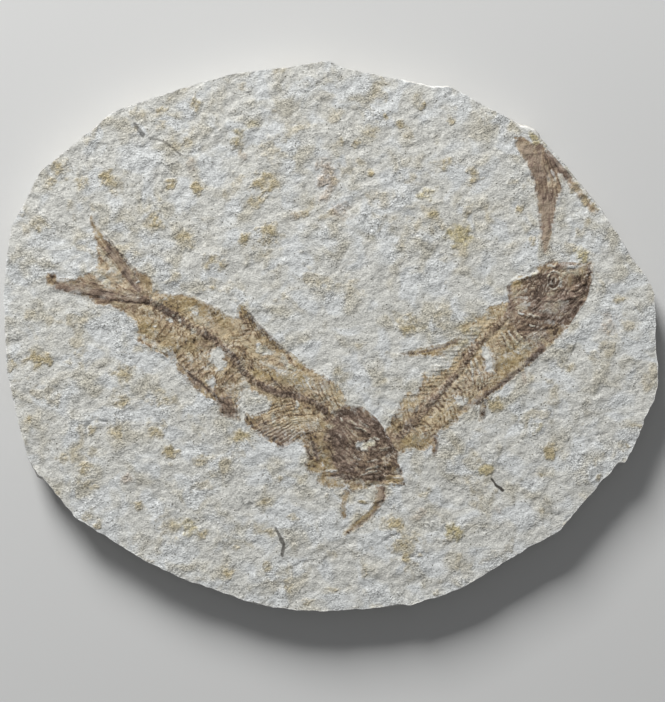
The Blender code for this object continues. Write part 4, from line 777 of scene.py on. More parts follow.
class FOSSIL_PG_stage(bpy.types.PropertyGroup):
    """The floor, the lights and the camera"""

    floor: bpy.props.FloatVectorProperty(
        name="Floor", description="Colour of the floor", subtype="COLOR", default=(0.62, 0.62, 0.61)
    )
    key: bpy.props.FloatProperty(
        name="Key light", description="Power of the soft main light", default=26.3, unit="POWER"
    )
    fill: bpy.props.FloatProperty(
        name="Fill light", description="Power of the light overhead", default=0.5, unit="POWER"
    )
    sky: bpy.props.FloatProperty(name="Sky", description="Strength of the even light", default=0.15)
    distance: bpy.props.FloatProperty(
        name="Camera distance", description="From the camera to the face", default=0.453, unit="LENGTH"
    )
    lens: bpy.props.FloatProperty(name="Lens", description="Focal length in millimetres", default=85.0)


# Shapes as numbers over the face

def smooth_step(low, high, value):
    """0 up to the low value, 1 from the high one, and an even rise between."""
    share = np.clip((value - low) / (high - low), 0.0, 1.0)
    return share * share * (3.0 - 2.0 * share)


def noise(x, y, size, seed):
    """Smooth noise from about -1 to 1, with lumps of the given size; each seed has its own pattern."""
    u, v = x / size, y / size
    left, low = np.floor(u).astype(np.int64), np.floor(v).astype(np.int64)
    fu, fv = u - left, v - low

    def corner(i, j):
        mixed = ((left + i) * 374761393 + (low + j) * 668265263 + seed * 974634777) & 0xFFFFFFFF
        mixed = ((mixed ^ (mixed >> 13)) * 1274126177) & 0xFFFFFFFF
        turn = (mixed ^ (mixed >> 16)) * (2.0 * math.pi / 2**32)
        return np.cos(turn) * (fu - i) + np.sin(turn) * (fv - j)

    su = fu**3 * (fu * (fu * 6.0 - 15.0) + 10.0)
    sv = fv**3 * (fv * (fv * 6.0 - 15.0) + 10.0)
    lower = corner(0, 0) * (1.0 - su) + corner(1, 0) * su
    upper = corner(0, 1) * (1.0 - su) + corner(1, 1) * su
    return 1.5 * (lower * (1.0 - sv) + upper * sv)


def face_height(x, y):
    """Height of the split face above its mean: lumps of several sizes, drawn out along the bedding."""
    u = (x * math.cos(RELIEF_TURN) + y * math.sin(RELIEF_TURN)) / RELIEF_STRETCH
    v = -x * math.sin(RELIEF_TURN) + y * math.cos(RELIEF_TURN)
    height = np.zeros_like(x)
    for i, (size, rise) in enumerate(RELIEF):
        height += rise * noise(u, v, size, 40 + i)
    for points, width, rise in LEDGES:
        height += rise * line_cover(x, y, points, width)
    return height * bpy.context.scene.fossil_slab.relief


def squared_reach(x, y, start, end):
    """The square of the distance to the line between two points."""
    (ax, ay), (bx, by) = start, end
    dx, dy = bx - ax, by - ay
    share = np.clip(((x - ax) * dx + (y - ay) * dy) / max(dx * dx + dy * dy, 1e-9), 0.0, 1.0)
    return (x - ax - share * dx) ** 2 + (y - ay - share * dy) ** 2


def inside_by(x, y, outline):
    """Distance to a closed outline, positive inside it."""
    nearest = np.full(x.shape, np.inf)
    inside = np.zeros(x.shape, bool)
    for start, end in zip(outline, outline[1:] + outline[:1]):
        nearest = np.minimum(nearest, squared_reach(x, y, start, end))
        (ax, ay), (bx, by) = start, end
        if ay != by:
            inside ^= ((ay > y) != (by > y)) & (x < ax + (y - ay) * (bx - ax) / (by - ay))
    return np.where(inside, 1.0, -1.0) * np.sqrt(nearest)


def line_reach(x, y, points):
    """Distance to a line of points, or to a single point."""
    nearest = np.full(x.shape, np.inf)
    for start, end in zip(points, points[1:] or points):
        nearest = np.minimum(nearest, squared_reach(x, y, start, end))
    return np.sqrt(nearest)


def line_cover(x, y, points, width):
    """How strongly a line of points covers each place: 1 at its middle and 0 past its edges."""
    return 1.0 - smooth_step(0.15 * width, 0.62 * width, line_reach(x, y, points))


def spine_place(x, y, spine):
    """How far along a backbone each place lies, and how far to its side."""
    nearest = np.full(x.shape, np.inf)
    along, side = np.zeros_like(x), np.zeros_like(x)
    done = 0.0
    for (ax, ay), (bx, by) in zip(spine, spine[1:]):
        dx, dy = bx - ax, by - ay
        length = math.hypot(dx, dy)
        share = np.clip(((x - ax) * dx + (y - ay) * dy) / length**2, 0.0, 1.0)
        away = np.hypot(x - ax - share * dx, y - ay - share * dy)
        closer = away < nearest
        nearest = np.where(closer, away, nearest)
        along = np.where(closer, done + share * length, along)
        hand = np.sign(dx * (y - ay) - dy * (x - ax))
        side = np.where(closer, hand * away, side)
        done += length
    return along, side


def turned_place(x, y, cx, cy, turn):
    """How far each place lies along and across a direction, given in degrees, from a middle."""
    c, s = math.cos(math.radians(turn)), math.sin(math.radians(turn))
    return (x - cx) * c + (y - cy) * s, (y - cy) * c - (x - cx) * s


def oval_reach(x, y, cx, cy, half_length, half_width, turn):
    """Distance from the middle of a turned oval, in units of its size: 1 on its outline."""
    along, across = turned_place(x, y, cx, cy, turn)
    return np.hypot(along / half_length, across / half_width)


def point_along(points, share):
    """The point at a share of the length of a line of points."""
    given = [Vector(p) for p in points]
    left = share * sum((b - a).length for a, b in zip(given, given[1:]))
    for a, b in zip(given, given[1:]):
        step = (b - a).length
        if left <= step:
            return a + (b - a) * (left / step)
        left -= step
    return given[-1]


def fan_lines(fans):
    """One bent line for each bone of each fan, with its darkness."""
    lines = []
    for roots, tips, count, bend, darkness in fans:
        for i in range(count):
            share = i / (count - 1)
            root, tip = point_along(roots, share), point_along(tips, share)
            side = Vector((root.y - tip.y, tip.x - root.x)).normalized()
            middle = (root + tip) / 2.0 + side * bend
            lines.append(([tuple(root), tuple(middle), tuple(tip)], darkness))
    return lines


def film_reach(x, y, fossil):
    """Distance inside a fossil's faint rim, negative in its gaps, past it and near the slab's edge."""
    reach = np.max([inside_by(x, y, film) for film in fossil["films"]], axis=0)
    for gap in fossil["gaps"]:
        reach = np.minimum(reach, -inside_by(x, y, gap))
    reach = reach + FILM_RIM
    if fossil["cut"]:
        reach = np.minimum(reach, inside_by(x, y, SLAB_OUTLINE) - EDGE_MARGIN)
    return reach


def pocket_depth(x, y):
    """How far the stone lies below the split face, to hold the fossils."""
    depth = np.zeros_like(x)
    for fossil in FOSSILS.values():
        reach = film_reach(x, y, fossil)
        shallow = 0.25 * smooth_step(0.05, 0.75, reach)
        deep = (FACE - fossil["floor"]) * smooth_step(0.7, 1.3, reach)
        depth = np.maximum(depth, shallow + deep)
    under = inside_by(x, y, TAIL_UNDER_HEAD)
    return np.maximum(depth, (FACE - TAIL_SHEET_FLOOR) * smooth_step(0.0, 0.6, under) * (depth > 0.3))


def stains(x, y):
    """Ochre, yellow and pink staining of the stone at each place, from 0 to 1."""
    ragged = 0.42 * noise(x, y, 2.6, 71) + 0.30 * noise(x, y, 1.1, 72)
    speckle = 0.78 + 0.34 * noise(x, y, 0.9, 73)
    made = []
    for spots in (OCHRE_STAINS, YELLOW_STAINS, PINK_STAINS):
        tone = np.zeros_like(x)
        for cx, cy, half_width, half_height, strength in spots:
            near = np.abs(x - cx) < 2.0 * half_width + 1.0
            near &= np.abs(y - cy) < 2.0 * half_height + 1.0
            away = np.hypot((x[near] - cx) / half_width, (y[near] - cy) / half_height) + ragged[near]
            spot = strength * (1.0 - smooth_step(0.20, 1.45, away))
            tone[near] = np.maximum(tone[near], spot)
        made.append(np.clip(tone * speckle, 0.0, 1.0))
    return made


class Film:
    """A fossil's film at many places, as numbers: its cover, darkness, ochre, purple and rise.

    Each part is laid over the ones before it, so their order counts."""

    def __init__(self, x, y, reach, fossil):
        self.x, self.y, self.reach, self.fossil = x, y, reach, fossil
        # the same places with a slight wobble, which gives lines their ragged edges
        self.wx = x + 0.26 * noise(x, y, 1.5, 21) + 0.10 * noise(x, y, 0.6, 22)
        self.wy = y + 0.26 * noise(x, y, 1.5, 23) + 0.10 * noise(x, y, 0.6, 24)
        self.rough, self.crumbs = noise(x, y, 1.7, 25), noise(x, y, 0.75, 26)
        self.specks = noise(x, y, 0.38, 27)
        self.edge = smooth_step(0.0, 0.4, reach)
        self.lay_base_and_tail()
        if "spine" in fossil:
            along, side = spine_place(x, y, fossil["spine"])
            self.lay_head_and_streaks(along, side)
            self.lay_backbone(along, side)
        for mark in fossil["marks"]:
            self.lay_mark(*mark)
        self.lay_bones()
        self.raise_head()
        self.amounts = [
            np.clip(value, 0.0, 1.0) for value in (self.cover, self.dark, self.ochre, self.purple)
        ]

    def lay_base_and_tail(self):
        """Mottled film, ragged at its edges and drawn out into rays on the tail."""
        x, y, reach, fossil = self.x, self.y, self.reach, self.fossil
        rx, ry = fossil["root"]
        from_root = np.hypot(x - rx, y - ry)
        turn = np.arctan2(y - ry, x - rx) - math.radians(fossil["root_turn"])
        turn = np.abs((turn + math.pi) % (2.0 * math.pi) - math.pi)
        tail = 1.0 - smooth_step(1.1, 1.5, turn)

        grit = fossil["grit"] * (1.0 - 0.75 * tail)
        mottle = 0.55 * noise(x, y, 4.2, 28) + 0.55 * noise(x, y, 2.1, 29)
        mottle += grit * (0.50 * self.crumbs + 0.34 * self.specks)
        ragged = reach + 0.60 * self.rough + 0.42 * self.crumbs
        self.cover = smooth_step(0.1, 1.6, ragged) * self.edge
        self.cover *= np.clip(fossil["cover"] + fossil["mottle"] * mottle, 0.0, 1.0)
        self.cover = np.maximum(self.cover, 0.40 * smooth_step(0.6, 2.4, ragged))
        self.dark = fossil["shade"] + 0.24 * noise(x, y, 4.5, 30) + 0.20 * noise(x, y, 1.7, 31)
        self.dark += grit * (0.20 * noise(x, y, 0.6, 32) + 0.18 * self.specks)
        self.ochre = fossil["ochre"] + 0.34 * noise(x, y, 5.0, 33) + 0.14 * noise(x, y, 1.6, 34)
        self.purple = fossil["purple"] + 0.34 * noise(x, y, 6.0, 35)
        self.rise = 0.035 * self.crumbs * smooth_step(0.4, 1.4, reach)

        ray = 0.7 * noise(turn * 16.0, from_root / 7.0, 1.0, 49)
        ray += 0.7 * noise(turn * 30.0, from_root / 5.0, 1.0, 50)
        ray *= tail * smooth_step(1.0, 4.0, from_root) * smooth_step(0.1, 1.0, reach)
        self.dark += 0.45 * ray + 0.02 * tail
        self.purple += 0.27 * tail
        self.ochre -= 0.10 * tail
        self.add_cover(0.30 * ray + 0.10 * tail)
        self.rise += 0.05 * ray

    def add_cover(self, amount):
        """More cover where there is film already."""
        self.cover = np.clip(self.cover + amount * (self.cover > 0.02), 0.0, 1.0)

    def lay_head_and_streaks(self, along, side):
        """Fine streaks that slant off the backbone, and the head's threads and arcs round the eye."""
        x, y, fossil = self.x, self.y, self.fossil
        head = 1.0 - smooth_step(0.80, 1.10, oval_reach(x, y, *fossil["head"]) + 0.16 * self.rough)
        swing = along - fossil["slant"] * np.abs(side) + 0.7 * noise(x, y, 4.0, 36)
        bones = 0.6 * noise(swing / 0.62, side / 3.0, 1.0, 37)
        bones += 0.5 * noise(swing / 0.34, side / 1.8, 1.0, 38)
        bones *= smooth_step(0.5, 4.0, along) * (1.0 - head)

        ex, ey = fossil["eye"]
        ring = np.hypot(x - ex, y - ey) + 1.2 * noise(x, y, 3.4, 41)
        arcs = 0.6 * noise(ring / 0.70, np.arctan2(ey - y, ex - x) * 2.2, 1.0, 42)
        cx, cy, _, _, turn = fossil["head"]
        length, across = turned_place(x, y, cx, cy, turn)
        across += 1.3 * noise(x, y, 4.4, 43)
        threads = 0.8 * noise(length / 2.8, across / 0.70, 1.0, 47)
        threads += 0.9 * noise(length / 1.7, across / 0.42, 1.0, 48)

        streaks = (bones + (0.5 * arcs + threads + 0.4 * self.specks) * head)
        streaks *= smooth_step(0.2, 1.4, self.reach)
        self.dark += fossil["lines"] * streaks + (0.31 + 0.16 * noise(x, y, 2.6, 51)) * head
        self.add_cover(0.45 * fossil["lines"] * streaks)
        whole = head * self.edge * np.clip(0.95 + 0.42 * threads + 0.4 * self.specks, 0.30, 1.0)
        self.cover = np.maximum(self.cover, whole)
        self.purple += 0.55 * head
        self.ochre -= 0.25 * head
        self.rise += 0.07 * streaks

    def lay_backbone(self, along, side):
        """A raised line of small joints, patchy in strength."""
        x, y, fossil = self.x, self.y, self.fossil
        jitter = 0.18 * noise(along / 1.5, side, 1.0, 45)
        dashes = (0.5 + 0.5 * np.cos(2.0 * math.pi * (along / fossil["pitch"] + jitter))) ** 3
        off = np.abs(side + 0.30 * self.rough + 0.25 * self.crumbs)
        spine = smooth_step(0.1, 0.8, along) * (1.0 - smooth_step(0.55, 1.25, off))
        patchy = np.clip(0.85 + 0.7 * noise(x, y, 2.2, 44), 0.35, 1.1)
        self.dark += spine * (fossil["bone"] + fossil["dashes"] * dashes + 0.34 * self.specks) * patchy
        self.purple += 0.50 * spine
        self.cover = np.maximum(self.cover, spine * (0.66 + 0.3 * dashes + 0.3 * self.specks) * patchy)
        self.rise += spine * (0.12 + 0.07 * (1.0 - dashes))

    def lay_mark(self, kind, amount, width, points):
        """A line or spot that is darker, more ochre, more purple, worn bare or white."""
        away = line_reach(self.wx, self.wy, points) + width * (0.20 * self.rough + 0.16 * self.crumbs)
        near = amount * (1.0 - smooth_step(0.12 * width, 0.66 * width, away))
        if kind == DARK:
            self.dark += 0.75 * near
        elif kind == OCHRE:
            self.ochre += near
        elif kind == PURPLE:
            self.purple += near
        if kind in MARK_COVER:
            self.cover = np.maximum(self.cover, MARK_COVER[kind] * near * self.edge)
        else:
            self.cover *= 1.0 - near
            self.dark *= 1.0 - MARK_FADE[kind] * near

    def lay_bones(self):
        """Ribs, spines and fin rays, each a narrow raised line."""
        fossil = self.fossil
        patchy = np.clip(0.95 + 0.6 * noise(self.x, self.y, 2.4, 39), 0.2, 1.0)
        rays = [(ray, RAY_DARKNESS) for ray in fossil.get("rays", [])]
        for line, darkness in fan_lines(fossil["fans"]) + rays:
            near = line_cover(self.wx, self.wy, line, BONE_WIDTH) * patchy
            self.dark += darkness * near
            if darkness > 0.0:
                self.cover = np.maximum(self.cover, 1.3 * near * darkness * self.edge)
            else:
                self.cover *= 1.0 + 0.45 * darkness * near
            self.rise = np.maximum(self.rise, 0.10 * near)

    def raise_head(self):
        """The head's relief: ridges of its plates, its domed shape, the eye's rings and its pit."""
        x, y, fossil = self.x, self.y, self.fossil
        for plate in fossil.get("plates", []):
            self.rise = np.maximum(self.rise, 0.18 * line_cover(self.wx, self.wy, plate, 1.2))
        for dome in fossil.get("domes", []):
            bulge = np.sqrt(np.clip(1.0 - oval_reach(x, y, *dome) ** 2, 0.0, None))
            self.rise += 0.22 * bulge * smooth_step(0.0, 0.8, self.reach)
        for ring in fossil.get("rings", []):
            self.lay_ring(*ring)
        for pit in fossil.get("pits", []):
            self.rise -= 0.22 * (1.0 - smooth_step(0.4, 1.1, oval_reach(x, y, *pit)))

    def lay_ring(self, cx, cy, size):
        """A pale raised ring round the eye, with an outline that is darkest below."""
        away = oval_reach(self.wx, self.wy, cx, cy, 1.6, 2.3, -8.0) + 0.07 * self.crumbs
        lower = 1.0 - smooth_step(-1.4, 0.6, self.y - cy)
        pale = 1.0 - smooth_step(0.05, 0.17, np.abs(away - size))
        pale *= np.clip(0.7 + 0.9 * noise(self.x, self.y, 1.3, 46), 0.1, 1.0)
        outline = 1.0 - smooth_step(0.05, 0.17, np.abs(away - size + 0.24))
        self.dark += (0.30 + 0.50 * lower) * outline - 0.45 * pale
        self.cover *= 1.0 - 0.70 * pale
        self.rise += 0.14 * pale


# Meshes

def quads_mesh(name, points, faces):
    """A mesh from points in millimetres and lists of faces."""
    mesh = bpy.data.meshes.new(name)
    mesh.from_pydata((np.asarray(points, float) * MM).tolist(), [], faces)
    mesh.update()
    return mesh


def new_object(name, data):
    """An object for a mesh, a light or a camera, in the scene."""
    made = bpy.data.objects.new(name, data)
    bpy.context.scene.collection.objects.link(made)
    return made


def cell_corners(grid):
    """The values at the four corners of each cell of a grid, in order round the cell."""
    return grid[:-1, :-1], grid[:-1, 1:], grid[1:, 1:], grid[1:, :-1]


def relief_block(name, xs, ys, heights, far):
    """A closed block between a relief and a flat far side, above it or below it."""
    gx, gy = np.meshgrid(xs, ys)
    points = np.column_stack([gx.ravel(), gy.ravel(), heights.ravel()])
    index = np.arange(heights.size).reshape(heights.shape)
    cells = np.stack(cell_corners(index), -1).reshape(-1, 4)
    loop = np.concatenate([index[0, :-1], index[:-1, -1], index[-1, :0:-1], index[:0:-1, 0]])
    edge = points[loop].copy()
    edge[:, 2] = far
    ring = len(points) + np.arange(len(loop))
    walls = np.stack([ring, np.roll(ring, -1), np.roll(loop, -1), loop], -1)
    faces = cells.tolist() + walls.tolist() + [ring[::-1].tolist()]
    if far > heights.max():
        faces = [face[::-1] for face in faces]
    return new_object(name, quads_mesh(name, np.vstack([points, edge]), faces))


def face_block(cell):
    """The space under the split face, with pockets for the fossils."""
    across, up = np.arange(-92.0, 92.0 + cell, cell), np.arange(-78.0, 78.0 + cell, cell)
    x, y = np.meshgrid(across, up)
    heights = FACE + face_height(x, y) - pocket_depth(x, y)
    return relief_block("slab_stone", across, up, heights, -4.0)


def back_block():
    """The space over the slab's back, which is slightly hollow in places."""
    across, up = np.arange(-93.0, 93.1, BACK_CELL), np.arange(-79.0, 79.1, BACK_CELL)
    x, y = np.meshgrid(across, up)
    hollow = np.clip(0.16 * noise(x, y, 14.0, 61) + 0.10 * noise(x, y, 6.0, 62), 0.0, None)
    return relief_block("back", across, up, hollow, FACE + 6.0)


def rim_line(spacing):
    """Points evenly along the slab's outline, and the smoothed direction into the slab at each."""
    points = []
    closed = SLAB_OUTLINE + SLAB_OUTLINE[:1]
    for (ax, ay), (bx, by) in zip(closed, closed[1:]):
        count = max(round(math.hypot(bx - ax, by - ay) / spacing), 1)
        points += [(ax + (bx - ax) * i / count, ay + (by - ay) * i / count) for i in range(count)]
    line = np.array(points)
    run = np.roll(line, -1, axis=0) - np.roll(line, 1, axis=0)
    inward = np.column_stack([run[:, 1], -run[:, 0]])
    shifts = range(-RIM_SMOOTHING, RIM_SMOOTHING + 1)
    inward = sum(np.roll(inward, shift, axis=0) for shift in shifts)
    inward /= np.linalg.norm(inward, axis=1)[:, None]
    return line, inward


def rim_solid(spacing):
    """The broken sides of the slab, from below its back to above its face."""
    line, inward = rim_line(spacing)
    count = len(line)
    along = np.arange(count) * spacing
    x, y = line.T

    def varied(middle, swing, size, seed):
        return middle + swing * noise(along, 0.0 * along, size, seed)

    widest = varied(0.55, 0.18, 11.0, 5)  # share of the height at which the rim stands out furthest
    face_inset = varied(0.28, 0.20, 5.0, 6)
    for cx, cy, reach, depth in CHIPS:
        face_inset += depth * np.exp(-((x - cx) ** 2 + (y - cy) ** 2) / reach**2)
    back_inset = varied(1.35, 0.9, 9.0, 7)
    levels = np.concatenate([[-1.5], np.linspace(0.0, FACE, RIM_LEVELS), [FACE + 1.5]])
    rings = []
    for level in levels:
        share = np.clip(level / FACE, 0.0, 1.0)
        over = np.clip((share - widest) / (1.0 - widest), 0.0, None)
        below = np.clip((widest - share) / widest, 0.0, None)
        inset = face_inset * over**1.5 + back_inset * below**1.6
        ledge = noise(along, np.full(count, level * 2.2), 4.2, 8)
        grain = noise(along, np.full(count, level * 1.6), 1.6, 9)
        inset += 0.34 * np.abs(ledge) + 0.16 * (1.0 + grain)
        rings.append(np.column_stack([line + inward * inset[:, None], np.full(count, level)]))
    here = np.arange(count)
    after = np.roll(here, -1)
    faces = []
    for low in range(len(levels) - 1):
        a, b = low * count, (low + 1) * count
        faces += np.stack([b + here, b + after, a + after, a + here], -1).tolist()
    faces += [here.tolist(), (here + (len(levels) - 1) * count)[::-1].tolist()]
    return new_object("rim", quads_mesh("rim", np.vstack(rings), faces))


def common_part(block, *tools):
    """A mesh of what a block shares with the other solids, all of which it uses up."""
    for tool in tools:
        step = block.modifiers.new(tool.name, "BOOLEAN")
        step.operation = "INTERSECT"
        step.object = tool
        step.solver = "MANIFOLD"
    graph = bpy.context.evaluated_depsgraph_get()
    mesh = bpy.data.meshes.new_from_object(block.evaluated_get(graph))
    for used in (block, *tools):
        bpy.data.objects.remove(used, do_unlink=True)
    return mesh


def without_pinches(cells):
    """The same cells, less those that meet another at a corner alone."""
    for _ in range(4):
        a, b, c, d = cell_corners(cells)
        rising, falling = a & c & ~b & ~d, b & d & ~a & ~c
        cells[:-1, :-1] &= ~rising
        cells[:-1, 1:] &= ~falling
    return cells


def floor_faces(cells, index):
    """Faces of the underside: one for each full block of cells, and one for each cell left over."""
    faces = []
    alone = cells.copy()
    rows, columns = cells.shape
    for i in range(0, rows - BLOCK, BLOCK):
        for j in range(0, columns - BLOCK, BLOCK):
            if cells[i : i + BLOCK, j : j + BLOCK].all():
                alone[i : i + BLOCK, j : j + BLOCK] = False
                block = index[i : i + BLOCK + 1, j : j + BLOCK + 1]
                faces.append([*block[:, 0], *block[-1, 1:], *block[-2::-1, -1], *block[0, -2:0:-1]])
    a, b, c, d = cell_corners(index)
    return faces + np.stack([d, c, b, a], -1)[alone].tolist()


def film_mesh(name, fossil, cell, top, hidden=None):
    """A closed plate of small cells over a film, with its edges sunk into the stone.

    The top is a function of the place and of how far inside the film it lies. A hidden part has an
    outline, the height of its top, and the outline of the film that covers it."""
    floor = fossil["floor"]
    corners = np.array([p for film in fossil["films"] for p in film])
    low, high = corners.min(0) - 1.0, corners.max(0) + 1.0
    x, y = np.meshgrid(np.arange(low[0], high[0], cell), np.arange(low[1], high[1], cell))
    reach = film_reach(x, y, fossil)
    shown = reach > -SKIRT
    if fossil["cut"]:
        shown &= inside_by(x, y, SLAB_OUTLINE) > EDGE_MARGIN - 0.3
    kept, level = shown, floor
    if hidden:
        outline, level, cover = hidden
        covered = inside_by(x, y, cover)
        shown = shown & (covered < 0.15)
        kept = shown | ((inside_by(x, y, outline) > 0.0) & (covered > -0.9))
    heights = np.full(x.shape, level)
    heights[shown] = top(x[shown], y[shown], reach[shown])

    cells = without_pinches(np.logical_and.reduce(cell_corners(kept)))
    index = np.arange(x.size).reshape(x.shape)
    below = x.size
    a, b, c, d = cell_corners(index)
    faces = np.stack([a, b, c, d], -1)[cells].tolist()
    padded = np.pad(cells, 1)
    sides = (
        (padded[:-2, 1:-1], a, b), (padded[1:-1, 2:], b, c),
        (padded[2:, 1:-1], c, d), (padded[1:-1, :-2], d, a),
    )
    for beside, start, end in sides:
        faces += np.stack([start + below, end + below, end, start], -1)[cells & ~beside].tolist()
    faces += floor_faces(cells, index + below)

    used, flat = np.unique(np.concatenate([np.ravel(face) for face in faces]), return_inverse=True)
    ends = np.cumsum([len(face) for face in faces])[:-1]
    points = np.vstack([
        np.column_stack([x.ravel(), y.ravel(), side])
        for side in (heights.ravel(), np.full(x.size, floor))
    ])[used]
    return quads_mesh(name, points, [face.tolist() for face in np.split(flat, ends)])


def places(mesh):
    """The points of a mesh in millimetres."""
    flat = np.zeros(len(mesh.vertices) * 3, np.float64)
    mesh.vertices.foreach_get("co", flat)
    return flat.reshape(-1, 3) / MM


def colour_attribute(mesh, name, channels):
    """Store four values at each point of a mesh."""
    values = np.empty((len(mesh.vertices), 4), np.float32)
    for i, channel in enumerate(channels):
        values[:, i] = channel
    layer = mesh.attributes.new(name, "FLOAT_COLOR", "POINT")
    layer.data.foreach_set("color", values.ravel())


def stain_slab(mesh):
    """Store the stains of the slab's face, and a whitish band on its sloping upper rim: partly the
    paler colour of freshly broken stone along the upper edge, partly a painted highlight of the lit
    bevel.
    """
    x, y, z = places(mesh).T
    normals = np.zeros(len(mesh.vertices) * 3, np.float32)
    mesh.vertices.foreach_get("normal", normals)
    leaning = 1.0 - smooth_step(0.70, 0.92, np.abs(normals.reshape(-1, 3)[:, 2]))
    # whitish band on the sloping upper rim all round: freshly broken stone, and a painted highlight of
    # the lit bevel
    fresh_and_highlight = leaning * smooth_step(5.5, 7.5, z) * (0.75 + 0.35 * noise(x, y, 3.0, 63))
    on_face = smooth_step(FACE - 1.5, FACE - 0.6, z)
    toned = [tone * on_face for tone in stains(x, y)]
    colour_attribute(mesh, "stains", (*toned, np.clip(fresh_and_highlight, 0.0, 1.0)))


def shade(mesh, angle):
    """Smooth shading, kept crisp where two faces meet at more than an angle in degrees."""
    shape = bmesh.new()
    shape.from_mesh(mesh)
    for face in shape.faces:
        face.smooth = True
    for edge in shape.edges:
        edge.smooth = edge.calc_face_angle(0.0) < math.radians(angle)
    shape.to_mesh(mesh)
    shape.free()


# Shader nodes

def feed(tree, target, name, source):
    """Link a socket to an input, or set the input to a value."""
    socket = target.inputs[name]
    if isinstance(source, bpy.types.NodeSocket):
        tree.links.new(source, socket)
    else:
        socket.default_value = source


def place_node(tree, kind, inputs=None, **settings):
    """A new node with its properties set and its inputs fed."""
    made = tree.nodes.new(kind)
    for name, value in settings.items():
        setattr(made, name, value)
    for name, source in (inputs or {}).items():
        feed(tree, made, name, source)
    return made


def place_group(tree, group, inputs):
    """The outputs of a new node for a group, with its inputs fed."""
    return place_node(tree, "ShaderNodeGroup", inputs, node_tree=group).outputs


def math_node(tree, operation, *values):
    """The result of a Math node."""
    return place_node(tree, "ShaderNodeMath", dict(enumerate(values)), operation=operation).outputs[0]


def times(tree, first, second):
    """The product of two values."""
    return math_node(tree, "MULTIPLY", first, second)


def plus(tree, first, second):
    """The sum of two values."""
    return math_node(tree, "ADD", first, second)


def times_plus(tree, first, second, third):
    """The product of two values, plus a third."""
    return math_node(tree, "MULTIPLY_ADD", first, second, third)


def largest(tree, values):
    """The largest of several values."""
    found, *others = values
    for value in others:
        found = math_node(tree, "MAXIMUM", found, value)
    return found


def vector_node(tree, operation, *values):
    """The outputs of a Vector Math node."""
    inputs = dict(enumerate(values))
    return place_node(tree, "ShaderNodeVectorMath", inputs, operation=operation).outputs


def scaled(tree, vector, factor):
    """A vector times a value."""
    inputs = {0: vector, "Scale": factor}
    return place_node(tree, "ShaderNodeVectorMath", inputs, operation="SCALE").outputs[0]


def mix_colour(tree, share, first, second, blend="MIX"):
    """The result of mixing two colours."""
    inputs = {0: share, 6: first, 7: second}
    return place_node(tree, "ShaderNodeMix", inputs, data_type="RGBA", blend_type=blend).outputs[2]


def channels(tree, colour):
    """The three values held in a colour."""
    return place_node(tree, "ShaderNodeSeparateColor", {0: colour}).outputs


def ranged(tree, value, low, high, to_low=0.0, to_high=1.0):
    """A value carried smoothly from one range to another."""
    inputs = dict(enumerate((value, low, high, to_low, to_high)))
    return place_node(tree, "ShaderNodeMapRange", inputs, interpolation_type="SMOOTHSTEP").outputs[0]


def noise_node(tree, vector, scale, detail=2.0, roughness=0.5, distortion=0.0):
    """The value of a Noise Texture, with its scale in lumps per millimetre."""
    inputs = {
        "Vector": vector, "Scale": scale, "Detail": detail, "Roughness": roughness,
        "Distortion": distortion,
    }
    return place_node(tree, "ShaderNodeTexNoise", inputs).outputs["Fac"]


def millimetres(tree):
    """The place on the object, in millimetres."""
    return scaled(tree, place_node(tree, "ShaderNodeTexCoord").outputs["Object"], 1.0 / MM)


def drawn_out(tree, vector, rotation, stretch):
    """Places for a texture that is turned, and stretched along its own X."""
    inputs = {"Vector": vector, "Rotation": rotation, "Scale": (stretch, 1.0, 1.0)}
    return place_node(tree, "ShaderNodeMapping", inputs, vector_type="TEXTURE").outputs[0]


def rgba(colour):
    """A colour property with full alpha."""
    return (*colour, 1.0)


def colour_inputs(settings, labels):
    """A group's colour inputs, from the settings of the same names."""
    return {label: rgba(getattr(settings, label.lower())) for label in labels}


def shared_group(name, inputs, outputs):
    """Have a function fill a node group when it is first asked for, and give that group ever after.

    Each input has a kind and a default, and each output a kind."""

    def prepared(fill):
        @functools.wraps(fill)
        def group():
            tree = bpy.data.node_groups.get(name)
            if tree:
                return tree
            tree = bpy.data.node_groups.new(name, "ShaderNodeTree")
            for label, (kind, default) in inputs.items():
                socket = tree.interface.new_socket(label, in_out="INPUT", socket_type=SOCKETS[kind])
                socket.default_value = default
            for label, kind in outputs.items():
                tree.interface.new_socket(label, in_out="OUTPUT", socket_type=SOCKETS[kind])
            given = place_node(tree, "NodeGroupInput").outputs
            place_node(tree, "NodeGroupOutput", fill(tree, given))
            return tree

        return group

    return prepared


@shared_group(
    "Specks",
    {"Spacing": ("value", 1.0), "Size": ("value", 0.2), "Share": ("value", 0.2)},
    {"Mask": "value"},
)
def speck_group(tree, given):
    """Small dark grains scattered through the stone."""
    where = millimetres(tree)
    density = math_node(tree, "DIVIDE", 1.0, given["Spacing"])
    cells = place_node(tree, "ShaderNodeTexVoronoi", {"Vector": where, "Scale": density}).outputs
    away = times(tree, cells["Distance"], given["Spacing"])
    ragged = plus(tree, away, times(tree, noise_node(tree, where, 4.0), 0.12))
    near = math_node(tree, "LESS_THAN", ragged, plus(tree, given["Size"], 0.06))
    chosen = math_node(tree, "LESS_THAN", channels(tree, cells["Color"])[0], given["Share"])
    return {"Mask": times(tree, near, chosen)}


